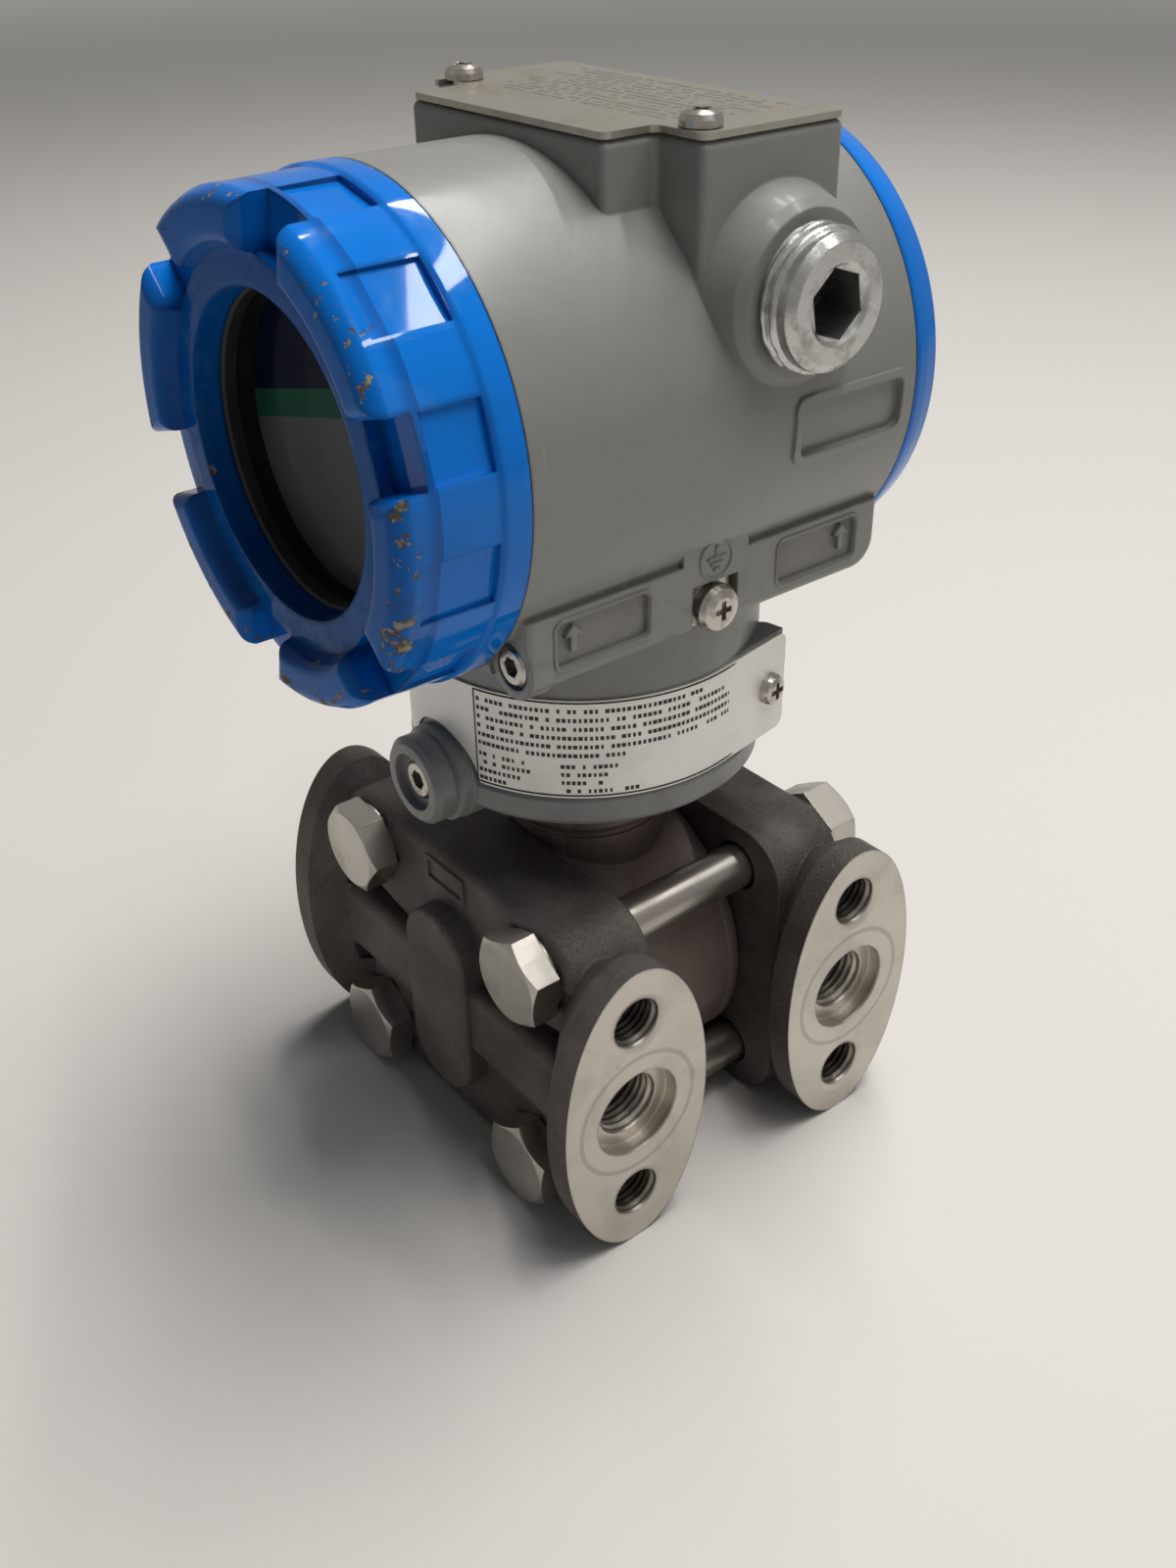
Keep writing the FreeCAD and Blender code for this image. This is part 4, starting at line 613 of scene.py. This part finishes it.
def display_finish(name):
    """The display's face: a dark top, a green strip under it and the grey-green field below. The dark blue
    top is a painted reflection of the dark room and the cover's blue wall, and the field is partly the
    display's own grey-green, partly a painted reflection of the floor.
    """
    f = Finish(name, Specular_IOR_Level=0.03)
    height = f.z - BARREL_MM - (f.x - AXIS_MM) * math.tan(DISPLAY_TILT)
    field = height.below(STRIP_LOW)
    strip = height.below(STRIP_HIGH) * (1.0 - field)
    grey = f.mix(f.noise(60).ramp(0.3, 0.7), SCREEN_FIELD, SCREEN_LIGHT)
    body = f.mix(field, SCREEN_TOP, grey)
    body = f.mix(strip, body, SCREEN_STRIP)
    # painted shade: black behind the display's front
    f.set("Base Color", f.mix(f.y.below(SCREEN_Y), BLACK_SHADE, body))
    f.set("Roughness", 0.55 + f.noise(200) * 0.1)
    return f


def ink(name, colour):
    """Printed or etched marks, slightly worn."""
    f = Finish(name)
    f.set("Base Color", f.mix(f.noise(900, 4, 0.6).ramp(0.55, 0.75) * 0.5, colour, INK_WORN))
    f.set("Roughness", 0.5 + f.noise(400) * 0.1)
    return f


FINISHES = {
    "cover_paint": cover_paint(),
    "housing_paint": housing_paint(),
    "cast_steel": cast_steel(),
    "bolt_steel": bolt_steel(),
    "capsule_steel": capsule_steel(),
    "plug_zinc": plug_zinc(),
    "plate_steel": plate_steel(),
    "screw_steel": screw_steel(),
    "rubber_black": dull_plastic("seal_rubber", RUBBER, RUBBER_LIGHT, 0.55, 120),
    "gasket_white": dull_plastic("gasket_sheet", GASKET, GASKET_LIGHT, 0.55, 120),
    "window_glass": window_glass(),
    "display_case": display_finish("display_case"),
    "display_film": display_finish("display_film"),
    "board_case": dull_plastic("board_lacquer", BOARD_GREEN, BOARD_LIGHT, 0.35, 90),
    "terminal_black": dull_plastic("terminal_moulding", MOULDING, MOULDING_LIGHT, 0.45, 80),
    "button_grey": dull_plastic("button_moulding", BUTTON, BUTTON_LIGHT, 0.5, 80),
}
PLATE_INK = ink("plate_ink", INK)
ETCHING = ink("plate_etching", ETCHED)

for part in frame["record"]["subparts"]:
    node = frame["nodes"][part["node"]]
    node.data.materials.clear()
    node.data.materials.append(FINISHES[part["material_slot"]].material)


# ---------------------------------------------------------------- Geometry Nodes pieces
class Pattern(Net):
    """A Geometry Nodes tree with named sizes, applied once to a handful of placing points."""

    def __init__(self, name):
        self.group = bpy.data.node_groups.new(name, "GeometryNodeTree")
        super().__init__(self.group)
        self.group.interface.new_socket("Geometry", in_out="INPUT", socket_type="NodeSocketGeometry")
        self.group.interface.new_socket("Geometry", in_out="OUTPUT", socket_type="NodeSocketGeometry")
        self.sockets = {}
        self.entry = self.tree.nodes.new("NodeGroupInput")

    def size(self, name, start, whole=False):
        """A named input of the tree, and the value it gives inside."""
        kind = "NodeSocketInt" if whole else "NodeSocketFloat"
        socket = self.group.interface.new_socket(name, in_out="INPUT", socket_type=kind)
        socket.default_value = start
        self.sockets[name] = socket.identifier
        return Value(self, self.entry.outputs[name])

    def points(self):
        return Value(self, self.entry.outputs["Geometry"])

    def close(self, geometry, material):
        """End the tree: real geometry with its material."""
        real = self.add("GeometryNodeRealizeInstances", sockets={0: geometry})
        painted = self.add("GeometryNodeSetMaterial", sockets={0: real[0], "Material": material})
        exit_node = self.tree.nodes.new("NodeGroupOutput")
        self.tree.links.new(painted.node.outputs[0], exit_node.inputs[0])

    def make(self, name, spots, body, slot, edges=(), **sizes):
        """Run the tree on placing points or a wire, and keep the result as a plain mesh on that body."""
        seed = bpy.data.meshes.new(name + "_spots")
        seed.from_pydata([Vector(spot) * MM for spot in spots], edges, [])
        carrier = bpy.data.objects.new(name + "_carrier", seed)
        bpy.context.collection.objects.link(carrier)
        modifier = carrier.modifiers.new(name, "NODES")
        modifier.node_group = self.group
        for key, value in sizes.items():
            modifier[self.sockets[key]] = value
        bpy.context.view_layer.update()
        graph = bpy.context.evaluated_depsgraph_get()
        mesh = bpy.data.meshes.new_from_object(carrier.evaluated_get(graph))
        carrier.modifiers.remove(modifier)
        bpy.data.objects.remove(carrier)
        return keep(name, mesh, body)


def keep(name, mesh, body, sharp=40):
    """Put a finished mesh into the scene on its body."""
    mesh.shade_smooth()
    mesh.set_sharp_from_angle(angle=math.radians(sharp))
    piece = bpy.data.objects.new(name, mesh)
    bpy.context.collection.objects.link(piece)
    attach(piece, body)
    return piece


def thread_pattern(material):
    """A helical thread along +X from each placing point: crests inwards where Depth is negative."""
    p = Pattern("thread_pattern")
    radius = p.size("Radius", 5.0)
    depth = p.size("Depth", -0.6)
    pitch = p.size("Pitch", 1.27)
    length = p.size("Length", 14.0)
    flip = p.size("Heading", 1.0)
    damage = p.size("Damage", 0.0)
    around = p.size("Around", 48, whole=True)
    along = p.size("Along", 80, whole=True)
    turn = 2 * math.pi
    grid = p.add("GeometryNodeMeshGrid", sockets={"Size X": length, "Size Y": turn,
                                                  "Vertices X": along, "Vertices Y": around})
    here = p.add("ShaderNodeSeparateXYZ", sockets={0: p.add("GeometryNodeInputPosition")[0]})
    far = here["X"] + length / 2
    angle = here["Y"]
    tooth = ((far / pitch + angle / turn).fraction() - 0.5).size() * 2.0
    crest = tooth.ramp(0.16, 0.84)
    rough = p.add("ShaderNodeTexNoise", {"noise_dimensions": "3D"}, {
        "Vector": p.add("ShaderNodeCombineXYZ", sockets={
            0: far * 0.5, 1: angle.cosine() * 2.0, 2: angle.sine() * 2.0})[0],
        "Scale": 1.1, "Detail": 2.0})["Fac"]
    fade = (far / pitch).least(1.0) * ((length - far) / pitch).least(1.0)
    reach = radius + depth * crest * (1.0 - (rough.ramp(0.45, 0.7) * damage)) * fade
    spot = p.add("ShaderNodeCombineXYZ", sockets={
        0: far * flip * MM, 1: reach * angle.cosine() * MM, 2: reach * angle.sine() * MM})
    wound = p.add("GeometryNodeSetPosition", sockets={0: grid[0], "Position": spot[0]})
    closed = p.add("GeometryNodeMergeByDistance", sockets={0: wound[0], "Distance": MERGE})
    inward = (depth * flip).below(0.0)
    turned = p.add("GeometryNodeFlipFaces", sockets={0: closed[0], "Selection": inward})
    copies = p.add("GeometryNodeInstanceOnPoints", sockets={"Points": p.points(), "Instance": turned[0]})
    p.close(copies[0], material)
    return p


def bead_pattern(material):
    """A round bead along every edge of a wire mesh: raised rims, signs and border lines."""
    p = Pattern("bead_pattern")
    line = p.size("Line", 0.4)
    path = p.add("GeometryNodeMeshToCurve", sockets={0: p.points()})
    bead = p.add("GeometryNodeCurvePrimitiveCircle", sockets={"Resolution": 10, "Radius": line * MM})
    solid = p.add("GeometryNodeCurveToMesh", sockets={
        "Curve": path[0], "Profile Curve": bead[0], "Fill Caps": True})
    p.close(solid[0], material)
    return p


def print_pattern(material):
    """Rows of short bars of uneven length, which stand for print, laid flat and then bent round the neck."""
    p = Pattern("print_pattern")
    seed = p.size("Seed", 3, whole=True)
    high = p.size("High", 1.0)
    cell = p.size("Cell", 3.0)
    bend = p.size("Bend", 0.0)
    gaps = p.size("Gaps", 0.1)
    bar = p.add("GeometryNodeMeshGrid", sockets={
        "Size X": 1.0, "Size Y": 1.0, "Vertices X": 4, "Vertices Y": 2})
    share = p.add("FunctionNodeRandomValue", {"data_type": "FLOAT"}, {2: 0.45, 3: 0.86, "Seed": seed})[1]
    stay = p.add("FunctionNodeRandomValue", {"data_type": "FLOAT"}, {2: 0.0, 3: 1.0, "Seed": seed + 7})[1]
    size = p.add("ShaderNodeCombineXYZ", sockets={0: share * cell * MM, 1: high * MM, 2: 1.0})
    words = p.add("GeometryNodeInstanceOnPoints", sockets={
        "Points": p.points(), "Instance": bar[0], "Scale": size[0], "Selection": stay.above(gaps)})
    flat = p.add("GeometryNodeRealizeInstances", sockets={0: words[0]})
    here = p.add("ShaderNodeSeparateXYZ", sockets={0: p.add("GeometryNodeInputPosition")[0]})
    angle = here["X"] / (bend.most(1.0) * MM)
    round_x = angle.cosine() * bend * MM + AXIS_X
    round_y = angle.sine() * bend * MM
    curved = bend.above(0.0)
    place_x = round_x * curved + here["X"] * (1.0 - curved)
    place_y = round_y * curved + here["Y"] * (1.0 - curved)
    place_z = here["Y"] * curved + here["Z"] * (1.0 - curved)
    spot = p.add("ShaderNodeCombineXYZ", sockets={0: place_x, 1: place_y, 2: place_z})
    laid = p.add("GeometryNodeSetPosition", sockets={0: flat[0], "Position": spot[0]})
    p.close(laid[0], material)
    return p


def wire(*lines):
    """Points and edges of some lines, each a list of points. A line that ends where it began is closed."""
    spots, edges = [], []
    for line in lines:
        first = len(spots)
        closed = line[0] == line[-1]
        run = line[:-1] if closed else line
        spots += run
        edges += [(first + i, first + i + 1) for i in range(len(run) - 1)]
        if closed:
            edges.append((len(spots) - 1, first))
    return spots, edges


def arc(radius, start, end, steps):
    """Points of an arc in a plane, with its angles in degrees."""
    angles = [math.radians(start + (end - start) * i / steps) for i in range(steps + 1)]
    return [(radius * math.cos(a), radius * math.sin(a)) for a in angles]


def lathe(name, material, outline, body, steps=96):
    """Turn a closed outline of (radius, y) points about the barrel's axis."""
    shape = bmesh.new()
    rings = []
    for step in range(steps):
        angle = 2 * math.pi * step / steps
        rings.append([shape.verts.new((AXIS_X + r * math.cos(angle) * MM, y * MM,
                                       BARREL_Z + r * math.sin(angle) * MM)) for r, y in outline])
    for here, there in zip(rings, rings[1:] + rings[:1]):
        for i in range(len(outline)):
            j = (i + 1) % len(outline)
            shape.faces.new((here[i], here[j], there[j], there[i]))
    bmesh.ops.remove_doubles(shape, verts=shape.verts, dist=MERGE)
    bmesh.ops.recalc_face_normals(shape, faces=shape.faces)
    mesh = bpy.data.meshes.new(name)
    shape.to_mesh(mesh)
    shape.free()
    mesh.materials.append(material)
    return keep(name, mesh, body, sharp=30)


def window():
    """A thinner pane behind a deep black gasket, in place of the plain ones, and the display's faceplate."""
    front, back = WINDOW_FRONT, WINDOW_BACK - GASKET_CHAMFER
    step = front + GASKET_DEPTH
    rear = step + PANE_THICK
    lip, seat = GASKET_INNER, GASKET_INNER + GASKET_SEAT
    pane = lathe("window_pane", FINISHES["window_glass"].material,
                 [(0.0, step + PANE_GAP), (seat, step + PANE_GAP), (seat, rear), (0.0, rear)],
                 "front_cover_body")
    pane.data.materials.append(FINISHES["rubber_black"].material)
    for face in pane.data.polygons:
        if abs(face.normal.y) < 0.5:
            face.material_index = 1
    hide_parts("window_glass")
    gasket = lathe("window_gasket_ring", FINISHES["rubber_black"].material,
                   [(lip + GASKET_CHAMFER, front), (PANE_RADIUS, front), (PANE_RADIUS, back), (seat, back),
                    (seat, step), (lip, step), (lip, front + GASKET_CHAMFER)],
                   "front_cover_body")
    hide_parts("window_gasket")
    near, far = rear + FACEPLATE_GAP, DISPLAY_FRONT - DISPLAY_GAP
    lathe("display_faceplate", FINISHES["display_film"].material,
          [(0.0, near), (FACEPLATE_RADIUS, near), (FACEPLATE_RADIUS, far), (0.0, far)],
          "housing_body")


def threads():
    """Screw threads in the ports and tapped holes, and on both conduit plugs."""
    steel = thread_pattern(FINISHES["cast_steel"].material)
    zinc = thread_pattern(FINISHES["plug_zinc"].material)
    near, far = NEAR_FACE / MM, FAR_FACE / MM
    taps = [(sx * PORT_Y, sz * TAP_Z) for sx in (-1, 1) for sz in (-1, 1)]
    steel.make("near_tap_threads", [(near - TAP_START, y, z) for y, z in taps], "sensor", "cast_steel",
               Heading=-1.0, **NEAR_TAP)
    steel.make("far_tap_threads", [(far + TAP_START, y, z) for y, z in taps], "sensor", "cast_steel",
               Heading=1.0, **FAR_TAP)
    steel.make("port_threads", [(near - PORT_START, y, 0.0) for y in (-PORT_Y, PORT_Y)], "sensor",
               "cast_steel", Heading=-1.0, **PORT)
    for side, heading, corner in (("right", 1.0, 1), ("left", -1.0, 0)):
        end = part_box("conduit_plug_" + side)[corner].x / MM
        zinc.make("conduit_plug_%s_threads" % side,
                  [(end - heading * PLUG_START, CONDUIT.y / MM, CONDUIT.z / MM)],
                  "housing_body", "plug_zinc", Heading=heading, **PLUG)


def raised_marks():
    """Rims round the sunk signs, and the earth sign over its screw."""
    beads = bead_pattern(FINISHES["housing_paint"].material)
    x = AXIS_MM + SIDE_FACE
    wide, high = SIGN_WIDE / 2 + SIGN_MARGIN, SIGN_HIGH / 2 + SIGN_MARGIN
    rims = []
    for y in (-SIGN_Y, SIGN_Y):
        loop = []
        for quarter, (sy, sz) in enumerate(((1, 1), (-1, 1), (-1, -1), (1, -1))):
            loop += [(x, y + sy * (wide - SIGN_CORNER) + a, SIGN_Z + sz * (high - SIGN_CORNER) + b)
                     for a, b in arc(SIGN_CORNER, quarter * 90, quarter * 90 + 90, 5)]
        rims.append(loop + loop[:1])
    spots, edges = wire(*rims)
    beads.make("sign_rims", spots, "housing_body", "housing_paint", edges=edges, Line=RIM_LINE)
    ring = [(x, a, EARTH_Z + b) for a, b in arc(EARTH_RING, 0, 360, 32)]
    ring[-1] = ring[0]
    bars = [[(x, -half, EARTH_Z + z), (x, half, EARTH_Z + z)] for half, z in EARTH_BARS]
    stem = [(x, 0.0, EARTH_Z + EARTH_STEM), (x, 0.0, EARTH_Z + EARTH_BARS[0][1])]
    spots, edges = wire(ring, stem, *bars)
    beads.make("earth_sign", spots, "housing_body", "housing_paint", edges=edges, Line=EARTH_LINE)


def printed_rows(rows, pitch):
    """Placing points along rows of (height, start, end)."""
    return [(start + pitch * i, high) for high, start, end in rows for i in range(int((end - start) / pitch))]


def plate_print():
    """Bars for print and a border line on the neck plate, and faint etched marks on the top plate."""
    degree = math.radians(NECK_RADIUS)         # its length on the plate
    left, right = PRINT_LEFT * degree, PRINT_RIGHT * degree
    full = right - left
    start = left + PRINT_MARGIN
    rows = [(TEXT_TOP - TEXT_PITCH * i, start, left + full * end) for i, end in enumerate(TEXT_ENDS)]
    for i, (label, value) in enumerate(TABLE_ENDS):
        high = TABLE_TOP - TABLE_PITCH * i
        rows += [(high, start, left + full * label), (high, left + full * TABLE_COLUMN, left + full * value)]
    letters = print_pattern(PLATE_INK.material)
    letters.make("neck_plate_print", [(s, z, 0.0) for s, z in printed_rows(rows, LETTER)], "housing_body",
                 "plate_steel", High=0.76, Cell=LETTER, Bend=NECK_RADIUS, Seed=5, Gaps=0.15)

    def on_neck(across, high):
        angle = across / NECK_RADIUS
        return AXIS_MM + NECK_RADIUS * math.cos(angle), NECK_RADIUS * math.sin(angle), high

    steps = 40
    top = [on_neck(left + full * i / steps, PRINT_TOP) for i in range(steps + 1)]
    foot = [on_neck(right - full * i / steps, PRINT_FOOT) for i in range(steps + 1)]
    spots, edges = wire(top + foot + top[:1])
    border = bead_pattern(PLATE_INK.material)
    border.make("neck_plate_border", spots, "housing_body", "plate_steel", edges=edges, Line=BORDER_LINE)

    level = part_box("top_plate")[1].z / MM + ETCHING_RISE
    rows = [(ETCHING_TOP - ETCHING_PITCH * i, AXIS_MM + ETCHING_START + ETCHING_INDENT * (i % 3),
             AXIS_MM + ETCHING_END - ETCHING_OUTDENT * (i % 2)) for i in range(ETCHING_ROWS)]
    etched = print_pattern(ETCHING.material)
    etched.make("top_plate_etching", [(s, y, level) for s, y in printed_rows(rows, 1.0)],
                "top_plate_body", "plate_steel", High=0.8, Cell=1.0, Bend=0.0, Seed=9, Gaps=0.30)


def merge_triangles(mesh):
    """Join the loose triangles of a copied CAD mesh, and let go of the normals that came with them."""
    shape = bmesh.new()
    shape.from_mesh(mesh)
    bmesh.ops.remove_doubles(shape, verts=shape.verts, dist=MERGE)
    shape.to_mesh(mesh)
    shape.free()
    if "custom_normal" in mesh.attributes:
        mesh.attributes.remove(mesh.attributes["custom_normal"])


def springs():
    """Copies of the two button springs, in place of the CAD ones."""
    for side in ("zero", "span"):
        source = frame["nodes"][side + "_spring"]
        mesh = source.data.copy()
        mesh.transform(source.matrix_world)
        merge_triangles(mesh)
        spring = keep(side + "_spring_coil", mesh, "housing_body")
        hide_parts(side + "_spring")
        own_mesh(spring)


window()
springs()
threads()
raised_marks()
plate_print()


# ---------------------------------------------------------------- stage, light and camera
WALL = rgb(0.31, 0.30, 0.285)
PAPER = rgb(0.75, 0.725, 0.69)
SKYLIGHT = rgb(0.92, 0.95, 1.0)
FLOOR_HALF = 4.0
HAZE_NEAR, HAZE_FAR = 900.0, 2600.0        # where the floor passes into the wall, in millimetres
AMBIENT = 0.055
AIM = (AXIS_X, 0.0, 0.08)
SENSOR, FOCAL_LENGTH = 36.0, 35.44425      # in millimetres
CAMERA_AT = (0.15229, -0.15628, 0.1987)
CAMERA_TURN = (51.94, 32.83, -1.02)        # azimuth, elevation and roll in degrees


def backdrop():
    """A pale paper floor that passes into the wall's colour far behind the piece."""
    floor = bpy.data.meshes.new("floor")
    half = FLOOR_HALF
    floor.from_pydata([(-half, -half, FLOOR_Z), (half, -half, FLOOR_Z), (half, half, FLOOR_Z),
                       (-half, half, FLOOR_Z)], [], [(0, 1, 2, 3)])
    stage = bpy.data.objects.new("floor", floor)
    bpy.context.collection.objects.link(stage)
    f = Finish("floor_paper")
    f.set("Base Color", PAPER)
    f.set("Roughness", 0.9)
    paths = f.add("ShaderNodeLightPath")
    far = f.across(f.x, 0.0, f.y, 0.0).ramp(HAZE_NEAR, HAZE_FAR)
    seen = paths["Is Camera Ray"].most(paths["Is Glossy Ray"])
    wall = f.add("ShaderNodeEmission", sockets={"Color": WALL, "Strength": 1.0})
    both = f.add("ShaderNodeMixShader", sockets={0: far * seen})
    f.tree.links.new(f.shader.outputs[0], both.node.inputs[1])
    f.tree.links.new(wall.node.outputs[0], both.node.inputs[2])
    f.tree.links.new(both.node.outputs[0], f.tree.nodes["Material Output"].inputs[0])
    floor.materials.append(f.material)


def lamp(name, at, size, power, colour=(1.0, 1.0, 1.0), mirrored=True):
    """A soft rectangle of light. One that isn't mirrored lights the piece without showing in its gloss."""
    light = bpy.data.lights.new(name, "AREA")
    light.shape = "RECTANGLE"
    light.size, light.size_y = size
    light.energy = power
    light.color = colour
    holder = bpy.data.objects.new(name, light)
    bpy.context.collection.objects.link(holder)
    holder.visible_glossy = mirrored
    holder.location = at
    holder.rotation_mode = "QUATERNION"
    holder.rotation_quaternion = (Vector(AIM) - Vector(at)).to_track_quat("-Z", "Y")


def world():
    """Dim skylight on the piece, and the wall's colour where the camera, gloss or glass looks at it."""
    scene = bpy.context.scene
    sky = bpy.data.worlds.new("studio")
    scene.world = sky
    sky.use_nodes = True
    net = Net(sky.node_tree)
    paths = net.add("ShaderNodeLightPath")
    seen = paths["Is Camera Ray"].most(paths["Is Glossy Ray"]).most(paths["Is Transmission Ray"])
    plain = sky.node_tree.nodes["Background"]
    plain.inputs["Color"].default_value = SKYLIGHT
    plain.inputs["Strength"].default_value = AMBIENT
    wall = net.add("ShaderNodeBackground", sockets={"Color": WALL, "Strength": 1.0})
    both = net.add("ShaderNodeMixShader", sockets={0: seen})
    sky.node_tree.links.new(plain.outputs[0], both.node.inputs[1])
    sky.node_tree.links.new(wall.node.outputs[0], both.node.inputs[2])
    sky.node_tree.links.new(both.node.outputs[0], sky.node_tree.nodes["World Output"].inputs[0])


def camera():
    """The view from which the piece's faces and circles were measured."""
    lens = bpy.data.cameras.new("camera")
    lens.sensor_width = SENSOR
    lens.lens = FOCAL_LENGTH
    view = bpy.data.objects.new("camera", lens)
    bpy.context.collection.objects.link(view)
    azimuth, elevation, roll = (math.radians(a) for a in CAMERA_TURN)
    back = Vector((math.sin(azimuth) * math.cos(elevation), -math.cos(azimuth) * math.cos(elevation),
                   math.sin(elevation)))
    view.location = CAMERA_AT
    view.rotation_mode = "QUATERNION"
    view.rotation_quaternion = (-back).to_track_quat("-Z", "Y") @ Quaternion((0, 0, 1), roll)
    lens.clip_start, lens.clip_end = 0.01, 20.0
    bpy.context.scene.camera = view


backdrop()
lamp("overhead", (0.03, 0.20, 1.27), (0.7, 0.45), 8.0, (1.0, 0.985, 0.96), mirrored=False)
lamp("tube_near", (0.05, 0.20, 1.15), (1.2, 0.045), 4.8, (1.0, 0.99, 0.97))
lamp("tube_far", (0.0, 0.55, 1.05), (1.2, 0.045), 4.2, (1.0, 0.99, 0.97))
lamp("window_side", (0.75, 0.15, 0.55), (0.5, 0.7), 0.55, (0.96, 0.98, 1.0))
lamp("front_fill", (-0.35, -0.85, 0.45), (0.8, 0.6), 0.12)
world()
camera()
bpy.context.scene.view_settings.view_transform = "Standard"
